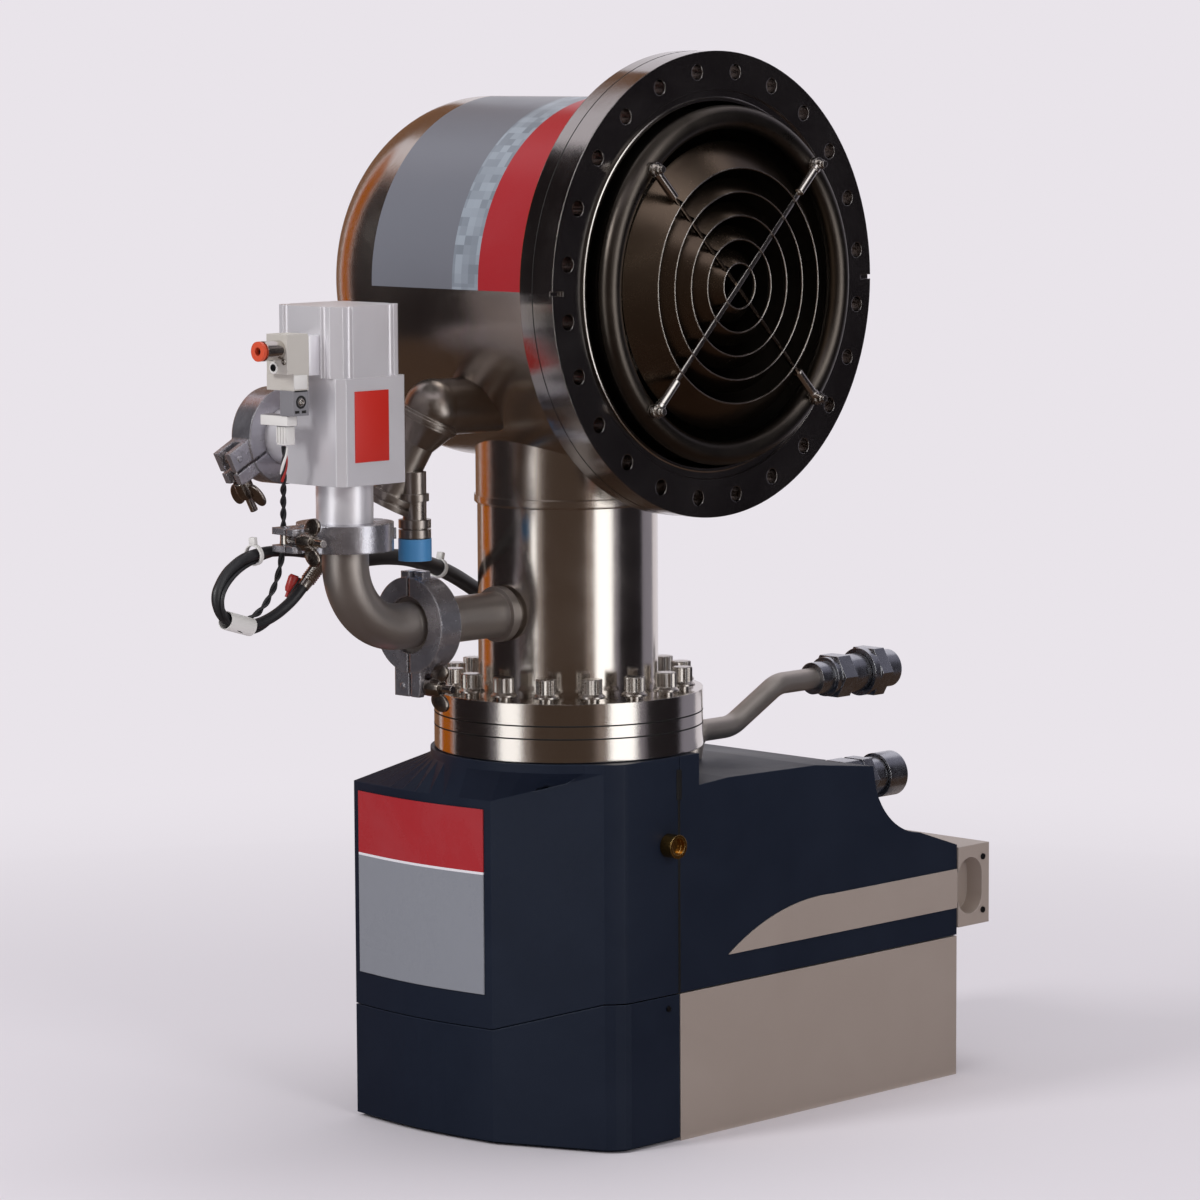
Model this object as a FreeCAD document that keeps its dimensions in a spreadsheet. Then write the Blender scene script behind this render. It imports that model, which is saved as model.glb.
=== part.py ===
import FreeCAD, Part
import PartDesign
import Sketcher
import math
import os
import re
import sys

# Cryogenic vacuum pump, in millimetres.
# Origin: on the floor, under the axis of the vertical column. +Z up.
# The inlet flange faces +X, the front label faces -Y, the control box lies towards +Y.

V = FreeCAD.Vector
doc = FreeCAD.newDocument("Cryopump")

# Driving dimensions
SIZES = {
    # inlet flange and vessel
    "inlet_z": 481.0,
    "inlet_face": 115.0,
    "inlet_od": 253.0,
    "inlet_thick": 24.4,
    "inlet_bolt_circle": "=inlet_od - 21.2",
    "inlet_hole": 8.4,
    "inlet_holes": 24,
    "seal_recess": "=inlet_od - 42",
    "seal_depth": 1.4,
    "vessel_od": "=inlet_od - 49.8",
    "vessel_wall": 2.0,
    "dome_start": -59.0,
    "dome_depth": 70.0,
    # column and its flanges
    "column_od": 101.6,
    "column_wall": 2.0,
    "neck_od": 103.2,
    "neck_low": 357.0,
    "bead_high": 4.0,
    "bead_out": 0.9,
    "flange_od": 152.0,
    "flange_bolt_circle": 130.3,
    "flange_hole": 8.4,
    "flange_holes": 16,
    "head_flange_low": 218.4,
    "head_flange_thick": 13.0,
    "ring_thick": 7.2,
    "column_flange_thick": 12.3,
    "gasket_out": 121.0,
    "gasket_in": 104.0,
    "gasket_thick": 2.0,
    "screw_shank": 8.0,
    "screw_head": 11.6,
    "screw_head_high": 8.6,
    "screw_collar": 14.6,
    "screw_collar_high": 2.2,
    # radiation shield and inlet louvers
    "shield_od": "=vessel_od - 13.2",
    "shield_wall": 1.6,
    "shield_back": -74.0,
    "shield_front": 122.0,
    "lip_tube": 12.8,
    "lip_circle": "=shield_od - 8",
    "louver_first": 12.8,
    "louver_pitch": 12.8,
    "louver_rings": 5,
    "louver_front": 131.8,
    "louver_deep": 8.0,
    "louver_flare": 7.0,
    "brim_deep": 13.0,
    "brim_flare": 14.0,
    "louver_sheet": 0.9,
    "bar_front": 131.3,
    "bar_deep": 2.0,
    "bar_wide": 3.2,
    "bar_gap": 0.15,
    "post_dia": 5.4,
    "post_back": 128.5,
    "post_front": 136.5,
    # cold head
    "stage_dia": 56.0,
    "stage_wall": 1.0,
    "station_low": 388.0,
    "station_thick": 8.0,
    "station_dia": 92.0,
    "second_dia": 24.0,
    "second_top": 455.0,
    "second_station": 60.0,
    "second_thick": 8.0,
    "stroke": 25.0,
    "displacer_low": 236.0,
    "displacer_gap": 0.08,
    "rod_dia": 12.0,
    "array_plates": 5,
    "array_pitch": 15.0,
    "array_dia": 132.0,
    "array_sheet": 1.5,
    "spine_wide": 16.0,
    # drive
    "crank_z": 137.0,
    "shaft_dia": 16.0,
    "crank_dia": 44.0,
    "crank_thick": 10.0,
    "crank_pin": 8.0,
    "pin_gap": 1.3,
    "yoke_wide": 50.0,
    "yoke_high": 20.0,
    "yoke_thick": 10.0,
    "yoke_slot_wide": 36.0,
    "yoke_slot_high": 8.6,
    "housing_wide": 96.0,
    "housing_front": -40.0,
    "housing_back": 46.0,
    "housing_low": 89.0,
    "housing_wall": 8.0,
    "housing_neck": 116.0,
    "housing_shoulder": 196.0,
    "bearing_out": 32.0,
    "bearing_wide": 8.0,
    "motor_dia": 66.0,
    "motor_long": 104.0,
    # base: front covers, rear cover, control box
    "side_x": 78.0,
    "left_x": -102.5,
    "front_y": -71.0,
    "front_bulge": 5.0,
    "front_corner": 9.0,
    "slant_x": 70.0,
    "slant_y": -43.7,
    "side_start": -31.0,
    "split_y": 8.0,
    "split_gap": 0.8,
    "cover_wall": 3.0,
    "plinth": 2.0,
    "plinth_inset": 5.0,
    "gap_front": 65.5,
    "gap_side": 84.0,
    "gap_wide": 0.7,
    "shoulder_z": 194.6,
    "lip_z": 212.6,
    "cover_top": 217.9,
    "collar_dia": 156.6,
    "cover_bore": 122.0,
    "label_inset": 5.0,
    "label_low": 85.0,
    "label_high": 189.5,
    "label_thick": 0.6,
    "box_end": 248.0,
    "box_top": 83.6,
    "box_wall": 1.6,
    "rear_low": 84.4,
    "rear_block_end": 24.5,
    "rear_top": 201.6,
    "rear_crown_y": 122.0,
    "rear_fall_y": 172.5,
    "rear_fall_z": 194.0,
    "rear_back_y": 175.0,
    "rear_back_z": 180.0,
    "rear_curve": 46.0,
    "rear_curve_y": 214.0,
    "rear_curve_z": 150.0,
    "rear_end_z": 138.5,
    "trim_low": 100.6,
    "trim_tip": 48.0,
    "trim_rise_y": 107.0,
    "trim_rise_z": 121.4,
    "trim_end_z": 124.0,
    "trim_thick": 0.8,
    "trim_curve": 150.0,
    "block_left": 12.0,
    "block_end": 276.5,
    "block_low": 88.6,
    "block_high": 136.8,
    "block_right": 79.0,
    "port_wide": 22.0,
    "port_high": 34.0,
    "port_deep": 12.0,
    "port_y": 259.0,
    "board_low": 20.0,
    "board_inset": 12.0,
    "board_thick": 1.6,
    "knob_dia": 13.4,
    "knob_long": 8.0,
    "knob_y": -1.0,
    "knob_z": 169.0,
    "knob_shank": 6.0,
    # roughing valve
    "valve_y": -170.0,
    "valve_turn": 0.0,
    "valve_wide": 50.0,
    "valve_chamfer": 4.0,
    "valve_low": 378.5,
    "valve_step": 436.0,
    "valve_high": 474.0,
    "cylinder_wide": 49.6,
    "cylinder_shift": -1.5,
    "cylinder_bore": 36.0,
    "neck_dia": 31.0,
    "neck_bore": 24.0,
    "port_z": 401.0,
    "port_reach": 53.5,
    "piston_thick": 7.0,
    "stem_dia": 8.0,
    "disc_dia": 33.0,
    "disc_thick": 4.0,
    "spring_dia": 26.0,
    "spring_wire": 2.0,
    "spring_turns": 5,
    "sol_left": -6.0,
    "sol_right": 10.2,
    "sol_long": 14.9,
    "sol_low": 439.2,
    "sol_high": 460.2,
    "pad_low": 438.0,
    "pad_high": 459.0,
    "pad_thick": 8.0,
    "step_left": -11.1,
    "step_long": 10.5,
    "step_low": 430.2,
    "coil_left": -0.3,
    "coil_long": 11.0,
    "coil_low": 416.9,
    "plate_left": -16.8,
    "plate_right": 4.3,
    "plate_low": 411.2,
    "plug_left": -5.2,
    "plug_right": 2.5,
    "plug_low": 401.0,
    "fitting_dia": 10.6,
    "fitting_long": 11.8,
    "fitting_x": 3.8,
    "fitting_z": 451.8,
    "ring_dia": 10.6,
    "ring_long": 5.0,
    "ring_out": 3.2,
    "button_dia": 3.6,
    "button_x": -0.4,
    "button_z": 442.4,
    "button_out": 0.9,
    # quick flanges and clamps
    "kf_dia": 40.0,
    "kf_thick": 3.6,
    "kf_gap": 2.0,
    "kf_bore": 22.2,
    "kf_tube": 25.4,
    "clamp_od": 52.6,
    "clamp_wide": 15.0,
    "clamp_groove": 9.6,
    "clamp_lip": 15.6,
    "clamp_room": 0.35,
    "clamp_split": 1.6,
    "lug_reach": 34.0,
    "lug_wide": 13.0,
    "lug_high": 8.0,
    "lug_end": 39.5,
    "lug_base": -12.0,
    "pin_drop": -6.0,
    "pin_dia": 3.2,
    "bolt_dia": 4.4,
    "bolt_long": 33.0,
    "slot_wide": 5.6,
    "nut_dia": 10.0,
    "nut_high": 10.0,
    "nut_room": 0.3,
    "wing_span": 26.0,
    "wing_rise": 16.0,
    "wing_thick": 2.2,
    "valve_clamp_z": 349.5,
    "valve_clamp_turn": -96.0,
    "outlet_clamp_tilt": 28.0,
    "side_z": 297.0,
    "side_face": -116.5,
    "bend_radius": 38.0,
    "side_collar": 31.0,
    "side_collar_wide": 5.0,
    # relief branch
    "relief_x": 5.6,
    "relief_y": -109.2,
    "relief_z": 415.2,
    "relief_dia": 31.0,
    "relief_ring": 35.5,
    "leg_end_x": -11.0,
    "leg_end_y": -127.5,
    "leg_end_z": 366.5,
    "leg_dia": 21.0,
    "leg_flange": 33.0,
    "branch_x": 2.6,
    "branch_y": -120.8,
    "branch_dia": 13.0,
    "branch_flange": 17.8,
    "branch_low": 345.0,
    "cap_dia": 18.2,
    "cap_high": 12.0,
    "cap_bore": 13.6,
    # helium lines
    "helium_dia": 12.7,
    "supply_x": 10.0,
    "supply_low": 216.0,
    "supply_high": 237.0,
    "supply_start": 86.0,
    "supply_end": 196.0,
    "supply_bend": 24.0,
    "supply_lean": 8.0,
    "return_x": 50.0,
    "return_z": 182.0,
    "return_start": 171.0,
    "hex_flats": 24.4,
    "collar_out": 19.0,
    "barrel_dia": 22.8,
    "thread_dia": 19.0,
    "cap_hex": 28.0,
    "cap_out": 22.6,
    "cap_knurl": 26.4,
    "cap_skin": 2.4,
    "screw_fit": 0.06,
    # cables
    "cable_dia": 6.0,
    "bundle_dia": 9.0,
    "wire_dia": 3.0,
}

sheet = doc.addObject("Spreadsheet::Sheet", "Sizes")
for row, (word, value) in enumerate(SIZES.items(), start=1):
    sheet.set("A%d" % row, word)
    sheet.set("B%d" % row, str(value))
    sheet.setAlias("B%d" % row, word)
doc.recompute()


def size(word):
    """The value of one driving dimension."""
    return float(sheet.get(word))


def formula(text):
    """An expression in the sheet's words, as the document wants it."""
    return re.sub(
        r"[a-z][a-z_0-9]*",
        lambda m: "Sizes." + m.group(0) if m.group(0) in SIZES else m.group(0),
        str(text),
    )


def bind(thing, prop, text):
    thing.setExpression(prop, formula(text))


def place(thing, x="0", y="0", z="0", axis=(0, 0, 1), angle=0.0):
    """Give a piece a turn about an axis and a place worked out from the sheet."""
    thing.Placement = FreeCAD.Placement(V(0, 0, 0), FreeCAD.Rotation(V(*axis), float(angle)))
    bind(thing, "Placement.Base.x", x)
    bind(thing, "Placement.Base.y", y)
    bind(thing, "Placement.Base.z", z)
    return thing


ALONG_X = dict(axis=(0, 1, 0), angle=90)
ALONG_Y = dict(axis=(1, 0, 0), angle=-90)
count = 0


def fresh(kind):
    global count
    count += 1
    return doc.addObject(kind, "Step%03d" % count)


def cylinder(dia, length, x="0", y="0", z="0", **turn):
    thing = fresh("Part::Cylinder")
    bind(thing, "Radius", "(%s) / 2" % dia)
    bind(thing, "Height", length)
    return place(thing, x, y, z, **turn)


def cone(dia_low, dia_high, length, x="0", y="0", z="0", **turn):
    thing = fresh("Part::Cone")
    bind(thing, "Radius1", "(%s) / 2" % dia_low)
    bind(thing, "Radius2", "(%s) / 2" % dia_high)
    bind(thing, "Height", length)
    return place(thing, x, y, z, **turn)


def box(x0, x1, y0, y1, z0, z1):
    thing = fresh("Part::Box")
    bind(thing, "Length", "(%s) - (%s)" % (x1, x0))
    bind(thing, "Width", "(%s) - (%s)" % (y1, y0))
    bind(thing, "Height", "(%s) - (%s)" % (z1, z0))
    return place(thing, x0, y0, z0)


def hexagon(flats, length, x="0", y="0", z="0", **turn):
    thing = fresh("Part::Prism")
    thing.Polygon = 6
    bind(thing, "Circumradius", "(%s) / sqrt(3)" % flats)
    bind(thing, "Height", length)
    return place(thing, x, y, z, **turn)


def cut(base, *tools):
    thing = fresh("Part::Cut")
    thing.Base = base
    thing.Tool = fuse(*tools)
    return thing


def fuse(*pieces):
    if len(pieces) == 1:
        return pieces[0]
    thing = fresh("Part::MultiFuse")
    thing.Shapes = list(pieces)
    return thing


def common(*pieces):
    thing = fresh("Part::MultiCommon")
    thing.Shapes = list(pieces)
    return thing


def group(*pieces):
    thing = fresh("Part::Compound")
    thing.Links = list(pieces)
    return thing


def turned(thing, axis, angle, x="0", y="0", z="0"):
    """The piece, built about its own origin, turned and put in its place."""
    holder = group(thing)
    holder.Placement = FreeCAD.Placement(V(0, 0, 0), FreeCAD.Rotation(V(*axis), 0.0))
    bind(holder, "Placement.Rotation.Angle", angle)
    bind(holder, "Placement.Base.x", x)
    bind(holder, "Placement.Base.y", y)
    bind(holder, "Placement.Base.z", z)
    return holder


def oriented(thing, x_to, y_to, x="0", y="0", z="0"):
    """The piece with its own X and Y laid along two given directions."""
    holder = group(thing)
    first, second = V(*x_to), V(*y_to)
    turn = FreeCAD.Rotation(first, second, first.cross(second), "XYZ")
    holder.Placement = FreeCAD.Placement(V(0, 0, 0), turn)
    bind(holder, "Placement.Base.x", x)
    bind(holder, "Placement.Base.y", y)
    bind(holder, "Placement.Base.z", z)
    return holder


nodes = []


def node(label, thing):
    thing.Label = label
    nodes.append(thing)
    return thing


def shape_node(label, shape):
    """A node whose shape is worked out here, where primitives don't fit."""
    thing = doc.addObject("Part::Feature", "Shape_" + label)
    thing.Shape = shape
    return node(label, thing)


def ring_of(maker, number, radius, height="0", start="0"):
    """Copies of one vertical piece round a circle about the column's axis."""
    copies = []
    for index in range(number):
        at = "(%s + 360 * %d / %d)" % (start, index, number)
        copies.append(maker("%s * cos(%s)" % (radius, at), "%s * sin(%s)" % (radius, at), height))
    return copies


# Sketch helpers for the pieces that are cut or pressed from sheet and plate
def body_sketch(body, role, points, arcs=None):
    """A closed outline on one of the body's own planes, each corner tied to the sheet.

    arcs maps the number of a side to the formula of its radius, which is negative
    where the side bows to the other hand.
    """
    arcs = arcs or {}
    plane = [f for f in body.Origin.OriginFeatures if f.Role == role][0]
    sketch = body.newObject("Sketcher::SketchObject", "Sketch_" + body.Name)
    sketch.AttachmentSupport = [(plane, "")]
    sketch.MapMode = "FlatFace"
    spots = [V(value_of(u), value_of(v), 0) for u, v in points]
    for index, spot in enumerate(spots):
        after = spots[(index + 1) % len(spots)]
        if index in arcs:
            sketch.addGeometry(arc_between(spot, after, value_of(arcs[index])), False)
        else:
            sketch.addGeometry(Part.LineSegment(spot, after), False)
    total = len(spots)
    for index in range(total):
        start, _ = ends_of(index, arcs)
        _, end = ends_of((index - 1) % total, arcs)
        sketch.addConstraint(Sketcher.Constraint("Coincident", (index - 1) % total, end, index, start))
        for kind, text in (("DistanceX", points[index][0]), ("DistanceY", points[index][1])):
            number = sketch.addConstraint(
                Sketcher.Constraint(kind, -1, 1, index, start, value_of(text))
            )
            sketch.setExpression("Constraints[%d]" % number, formula(text))
    for index, text in arcs.items():
        number = sketch.addConstraint(Sketcher.Constraint("Radius", index, abs(value_of(text))))
        sketch.setExpression("Constraints[%d]" % number, formula("abs(%s)" % text))
    return sketch


def ends_of(index, arcs):
    """Which ends of a side are its start and its end, as the sketch counts them."""
    if index in arcs and value_of(arcs[index]) < 0:
        return 2, 1
    return 1, 2


def arc_between(start, end, radius):
    """The short arc from start to end; a negative radius bows it to the other hand."""
    middle = (start + end) * 0.5
    chord = end - start
    half = chord.Length / 2
    side = V(-chord.y, chord.x, 0).normalize() * math.sqrt(max(radius * radius - half * half, 0.0))
    centre = middle + side if radius > 0 else middle - side
    first = math.atan2(start.y - centre.y, start.x - centre.x)
    last = math.atan2(end.y - centre.y, end.x - centre.x)
    if radius < 0:
        first, last = last, first
    circle = Part.Circle(centre, V(0, 0, 1), abs(radius))
    return Part.ArcOfCircle(circle, first, last)


def value_of(text):
    """The number that a formula in the sheet's words comes to."""
    probe = doc.getObject("Probe")
    return float(probe.evalExpression(formula(text)))


def padded_body(name, role, points, length, arcs=None):
    """A plate: an outline given a thickness."""
    body = doc.addObject("PartDesign::Body", "Body_" + name)
    sketch = body_sketch(body, role, points, arcs)
    pad = body.newObject("PartDesign::Pad", "Pad_" + name)
    pad.Profile = sketch
    bind(pad, "Length", length)
    sketch.Visibility = False
    return body

probe = doc.addObject("App::FeaturePython", "Probe")

# Heights and planes that several pieces share
RING_LOW = "(head_flange_low + head_flange_thick)"
COLUMN_LOW = "(%s + ring_thick)" % RING_LOW
COLUMN_TOP = "(%s + column_flange_thick)" % COLUMN_LOW
FLANGE_BACK = "(inlet_face - inlet_thick)"
VESSEL_ROOF = "(inlet_z - vessel_od / 2)"


# Vacuum vessel: lying tube, domed back and the drawn neck over the column
def dome(radius, depth):
    thing = fresh("Part::Ellipsoid")
    bind(thing, "Radius1", depth)
    bind(thing, "Radius2", radius)
    bind(thing, "Radius3", radius)
    thing.Angle1 = 0.0
    thing.Angle2 = 90.0
    return place(thing, "dome_start", "0", "inlet_z", axis=(0, 1, 0), angle=-90)


vessel_tube = cylinder("vessel_od", "%s - dome_start" % FLANGE_BACK, "dome_start", "0", "inlet_z", **ALONG_X)
vessel_room = cylinder(
    "vessel_od - 2 * vessel_wall", "%s - dome_start + 2" % FLANGE_BACK, "dome_start", "0", "inlet_z",
    **ALONG_X
)
neck_solid = cylinder("neck_od", "%s + 30 - neck_low" % VESSEL_ROOF, z="neck_low")
bead_solid = cylinder("neck_od + 2 * bead_out", "bead_high", z="neck_low")
throat = cylinder("column_od", "inlet_z - neck_low", z="neck_low")
relief_throat = cylinder("relief_dia", "60", "relief_x", "relief_y + 10", "relief_z", **ALONG_Y)
node("vacuum_vessel", cut(
    fuse(vessel_tube, dome("vessel_od / 2", "dome_depth"), neck_solid, bead_solid),
    vessel_room,
    dome("vessel_od / 2 - vessel_wall", "dome_depth - vessel_wall"),
    throat,
    relief_throat,
))

# Inlet flange with its bolt circle, seal recess and leak-check slots
flange_disc = cylinder("inlet_od", "inlet_thick", FLANGE_BACK, "0", "inlet_z", **ALONG_X)
flange_bore = cylinder(
    "vessel_od - 2 * vessel_wall", "inlet_thick + 2", "%s - 1" % FLANGE_BACK, "0", "inlet_z", **ALONG_X
)
flange_recess = cylinder("seal_recess", "seal_depth + 1", "inlet_face - seal_depth", "0", "inlet_z",
                         **ALONG_X)
inlet_holes = []
for index in range(int(size("inlet_holes"))):
    at = "(7.5 + 360 * %d / inlet_holes)" % index
    inlet_holes.append(cylinder(
        "inlet_hole", "inlet_thick + 2", "%s - 1" % FLANGE_BACK,
        "inlet_bolt_circle / 2 * cos(%s)" % at, "inlet_z + inlet_bolt_circle / 2 * sin(%s)" % at, **ALONG_X
    ))
leak_slots = [
    box("inlet_face - 2", "inlet_face + 1", "%s * inlet_od / 2 - 8" % side, "%s * inlet_od / 2 + 8" % side,
        "inlet_z - 1.2", "inlet_z + 1.2")
    for side in ("-1", "1")
]
node("inlet_flange", cut(flange_disc, flange_bore, flange_recess, *inlet_holes, *leak_slots))

# Column tube with the side port's hole
column_solid = cylinder("column_od", "neck_low + 24 - %s" % COLUMN_LOW, z=COLUMN_LOW)
column_room = cylinder("column_od - 2 * column_wall", "neck_low + 26 - %s" % COLUMN_LOW,
                       z="%s - 1" % COLUMN_LOW)
side_hole = cylinder("kf_tube", "column_od / 2", "0", "-column_od / 2 - 2", "side_z", **ALONG_Y)
node("column_tube", cut(column_solid, column_room, side_hole))


# The three flanges under the column, their gasket and their screws
def flange_ring(low, thick, bore):
    disc = cylinder("flange_od", thick, z=low)
    opening = cylinder(bore, "%s + 2" % thick, z="%s - 1" % low)
    holes = ring_of(
        lambda x, y, z: cylinder("flange_hole", "%s + 2" % thick, x, y, "%s - 1" % low),
        int(size("flange_holes")), "flange_bolt_circle / 2", start="11.25",
    )
    return disc, [opening] + holes


def gasket_seat():
    return cut(
        cylinder("gasket_out", "gasket_thick", z="%s - gasket_thick / 2" % COLUMN_LOW),
        cylinder("gasket_in", "gasket_thick + 2", z="%s - gasket_thick / 2 - 1" % COLUMN_LOW),
    )


disc, openings = flange_ring(COLUMN_LOW, "column_flange_thick", "column_od")
node("column_flange", cut(disc, gasket_seat(), *openings))
disc, openings = flange_ring(RING_LOW, "ring_thick", "column_od - 2 * column_wall")
node("middle_flange", cut(disc, gasket_seat(), *openings))
disc, openings = flange_ring("head_flange_low", "head_flange_thick", "stage_dia")
node("coldhead_flange", cut(disc, *openings))
node("copper_gasket", gasket_seat())


def flange_screw(x, y, z):
    shank = cylinder("screw_shank", "%s - head_flange_low - 1" % COLUMN_TOP, x, y, "head_flange_low + 1")
    collar = cylinder("screw_collar", "screw_collar_high", x, y, COLUMN_TOP)
    head = fuse(
        hexagon("screw_head", "screw_head_high", x, y, "%s + screw_collar_high" % COLUMN_TOP),
        hexagon("screw_head", "screw_head_high", x, y, "%s + screw_collar_high" % COLUMN_TOP,
                axis=(0, 0, 1), angle=30),
    )
    return fuse(shank, collar, head)


node("flange_screws", group(*ring_of(
    flange_screw, int(size("flange_holes")), "flange_bolt_circle / 2", start="11.25")))

# Radiation shield: can with a closed back, a rolled front lip and a hole for the cold head
def at_posts(maker):
    return [turned(maker(), (1, 0, 0), "%d" % angle, z="inlet_z") for angle in (45, 135, 225, 315)]


shield_out = cylinder("shield_od", "shield_front - shield_back", "shield_back", "0", "inlet_z", **ALONG_X)
shield_in = cylinder(
    "shield_od - 2 * shield_wall", "shield_front - shield_back", "shield_back + shield_wall", "0", "inlet_z",
    **ALONG_X
)
shield_floor_hole = cylinder("second_dia + 16", "60", z="inlet_z - shield_od / 2 - 30")
station_cut = cylinder("station_dia", "station_thick + 40", z="station_low + station_thick - 40")
rolled_lip = fresh("Part::Torus")
bind(rolled_lip, "Radius1", "lip_circle / 2")
bind(rolled_lip, "Radius2", "lip_tube / 2")
place(rolled_lip, "shield_front", "0", "inlet_z", axis=(0, 1, 0), angle=90)
seats = at_posts(lambda: cylinder(
    "post_dia + 2", "post_back - shield_front", "shield_front", "0", "lip_circle / 2", **ALONG_X))
node("radiation_shield", fuse(cut(shield_out, shield_in, shield_floor_hole, station_cut), rolled_lip, *seats))


# Inlet louvers: concentric cone rings notched over two crossed bars that the shield's lip carries
def across(wide, low, high):
    """A straight bar between the posts, one for each diagonal."""
    return [
        turned(box(low, high, "-(%s) / 2" % wide, "(%s) / 2" % wide, "-lip_circle / 2", "lip_circle / 2"),
               (1, 0, 0), angle, z="inlet_z")
        for angle in ("45", "135")
    ]


def louver(index, deep="louver_deep", flare="louver_flare"):
    inner = "(louver_first + louver_pitch * %d)" % index
    outside = cone("2 * (%s + %s)" % (inner, flare), "2 * %s" % inner, deep,
                   "louver_front - %s" % deep, "0", "inlet_z", **ALONG_X)
    inside = cone("2 * (%s + %s - louver_sheet)" % (inner, flare), "2 * (%s - louver_sheet)" % inner,
                  deep, "louver_front - %s" % deep, "0", "inlet_z", **ALONG_X)
    notches = across("bar_wide + 2 * bar_gap", "bar_front - bar_deep - bar_gap", "louver_front + 1")
    return cut(outside, inside, *notches)


last = int(size("louver_rings")) - 1
louvers = [louver(index) for index in range(last)]
node("louver_rings", group(*louvers, louver(last, "brim_deep", "brim_flare")))
cross_bars = across("bar_wide", "bar_front - bar_deep", "bar_front")
bar_pads = at_posts(lambda: cylinder(
    "post_dia + 2", "bar_deep", "bar_front - bar_deep", "0", "lip_circle / 2", **ALONG_X))
bar_holes = at_posts(lambda: cylinder(
    "post_dia - 1.4", "20", "bar_front - 10", "0", "lip_circle / 2", **ALONG_X))
node("louver_cross_bars", cut(fuse(*cross_bars, *bar_pads), *bar_holes))


def standoff():
    sleeve = cylinder("post_dia", "bar_front - bar_deep - post_back", "post_back", "0", "lip_circle / 2",
                      **ALONG_X)
    return sleeve


def post_screw():
    shank = cylinder("post_dia - 1.6", "post_front - bar_front + bar_deep", "bar_front - bar_deep", "0",
                     "lip_circle / 2", **ALONG_X)
    washer = cylinder("post_dia + 2", "0.8", "bar_front", "0", "lip_circle / 2", **ALONG_X)
    head = cylinder("post_dia", "2.6", "bar_front + 0.8", "0", "lip_circle / 2", **ALONG_X)
    return fuse(shank, washer, head)


node("array_hardware", group(*at_posts(standoff), *at_posts(post_screw)))

# Cold head: two-stage cylinder with its copper stations
stage_tube = cylinder("stage_dia", "station_low - head_flange_low", z="head_flange_low")
first_station = cylinder("station_dia", "station_thick", z="station_low")
second_tube = cylinder("second_dia", "second_top - station_low - station_thick",
                       z="station_low + station_thick")
second_station = cylinder("second_station", "second_thick", z="second_top")
stage_room = cylinder("stage_dia - 2 * stage_wall", "station_low - head_flange_low + 1",
                      z="head_flange_low - 1")
second_room = cylinder("second_dia - 2 * stage_wall", "second_top - station_low + 1", z="station_low - 1")
node("coldhead_cylinder", cut(
    fuse(stage_tube, first_station, second_tube, second_station), stage_room, second_room))

# Cold array: upright plates hung from a spine on the second station
ARRAY_MIDDLE = "(second_top + second_thick)"
spine = box("-array_pitch * (array_plates - 1) / 2 - 4", "array_pitch * (array_plates - 1) / 2 + 4",
            "-spine_wide / 2", "spine_wide / 2", ARRAY_MIDDLE, "%s + 3" % ARRAY_MIDDLE)
array_plates = [
    cylinder("array_dia", "array_sheet", "array_pitch * (%d - (array_plates - 1) / 2)" % index, "0",
             "inlet_z", **ALONG_X)
    for index in range(int(size("array_plates")))
]
array_gap = box("-array_dia", "array_dia", "-second_station / 2 - 1.5", "second_station / 2 + 1.5",
                "inlet_z - array_dia", "%s + 1.5" % ARRAY_MIDDLE)
node("cold_array", fuse(spine, *[cut(plate, array_gap) for plate in array_plates]))

# Displacer and yoke, which go up and down together
first_displacer = cylinder("stage_dia - 2 * stage_wall - 2 * displacer_gap",
                           "station_low - stroke - 3 - displacer_low", z="displacer_low")
second_displacer = cylinder("second_dia - 2 * stage_wall - 2 * displacer_gap",
                            "second_top - station_low + 2", z="station_low - stroke - 4")
YOKE_REST = "(crank_z - stroke / 2)"
rod = cylinder("rod_dia", "displacer_low - %s - yoke_high / 2" % YOKE_REST,
               z="%s + yoke_high / 2" % YOKE_REST)
node("displacer", fuse(first_displacer, second_displacer, rod))
yoke_block = box("-yoke_wide / 2", "yoke_wide / 2", "-yoke_thick / 2", "yoke_thick / 2",
                 "%s - yoke_high / 2" % YOKE_REST, "%s + yoke_high / 2" % YOKE_REST)
yoke_slot = box("-yoke_slot_wide / 2", "yoke_slot_wide / 2", "-yoke_thick", "yoke_thick",
                "%s - yoke_slot_high / 2" % YOKE_REST, "%s + yoke_slot_high / 2" % YOKE_REST)
node("drive_yoke", cut(yoke_block, yoke_slot))

# Drive housing, motor, crank and bearings
housing_block = box("-housing_wide / 2", "housing_wide / 2", "housing_front", "housing_back",
                    "housing_low", "housing_shoulder")
housing_neck = cylinder("housing_neck", "head_flange_low - housing_shoulder", z="housing_shoulder")
housing_room = box("-housing_wide / 2 + housing_wall", "housing_wide / 2 - housing_wall",
                   "housing_front + housing_wall", "housing_back - bearing_wide",
                   "housing_low + housing_wall", "housing_shoulder - housing_wall")
rod_bore = cylinder("rod_dia + 0.12", "60", z="housing_shoulder - housing_wall - 1")
bearing_bore = cylinder("bearing_out", "bearing_wide + 2", "0", "housing_back - bearing_wide - 1",
                        "crank_z", **ALONG_Y)
node("drive_housing", cut(fuse(housing_block, housing_neck), housing_room, rod_bore, bearing_bore))
motor_body = cylinder("motor_dia", "motor_long", "0", "housing_back", "crank_z", **ALONG_Y)
motor_seat = cylinder("bearing_out", "bearing_wide + 1", "0", "housing_back - 1", "crank_z", **ALONG_Y)
motor_hole = cylinder("shaft_dia + 2", "20", "0", "housing_back + bearing_wide - 1", "crank_z", **ALONG_Y)
motor_fins = [
    cylinder("motor_dia + 5", "3", "0", "housing_back + 20 + 10 * %d" % index, "crank_z", **ALONG_Y)
    for index in range(6)
]
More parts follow.
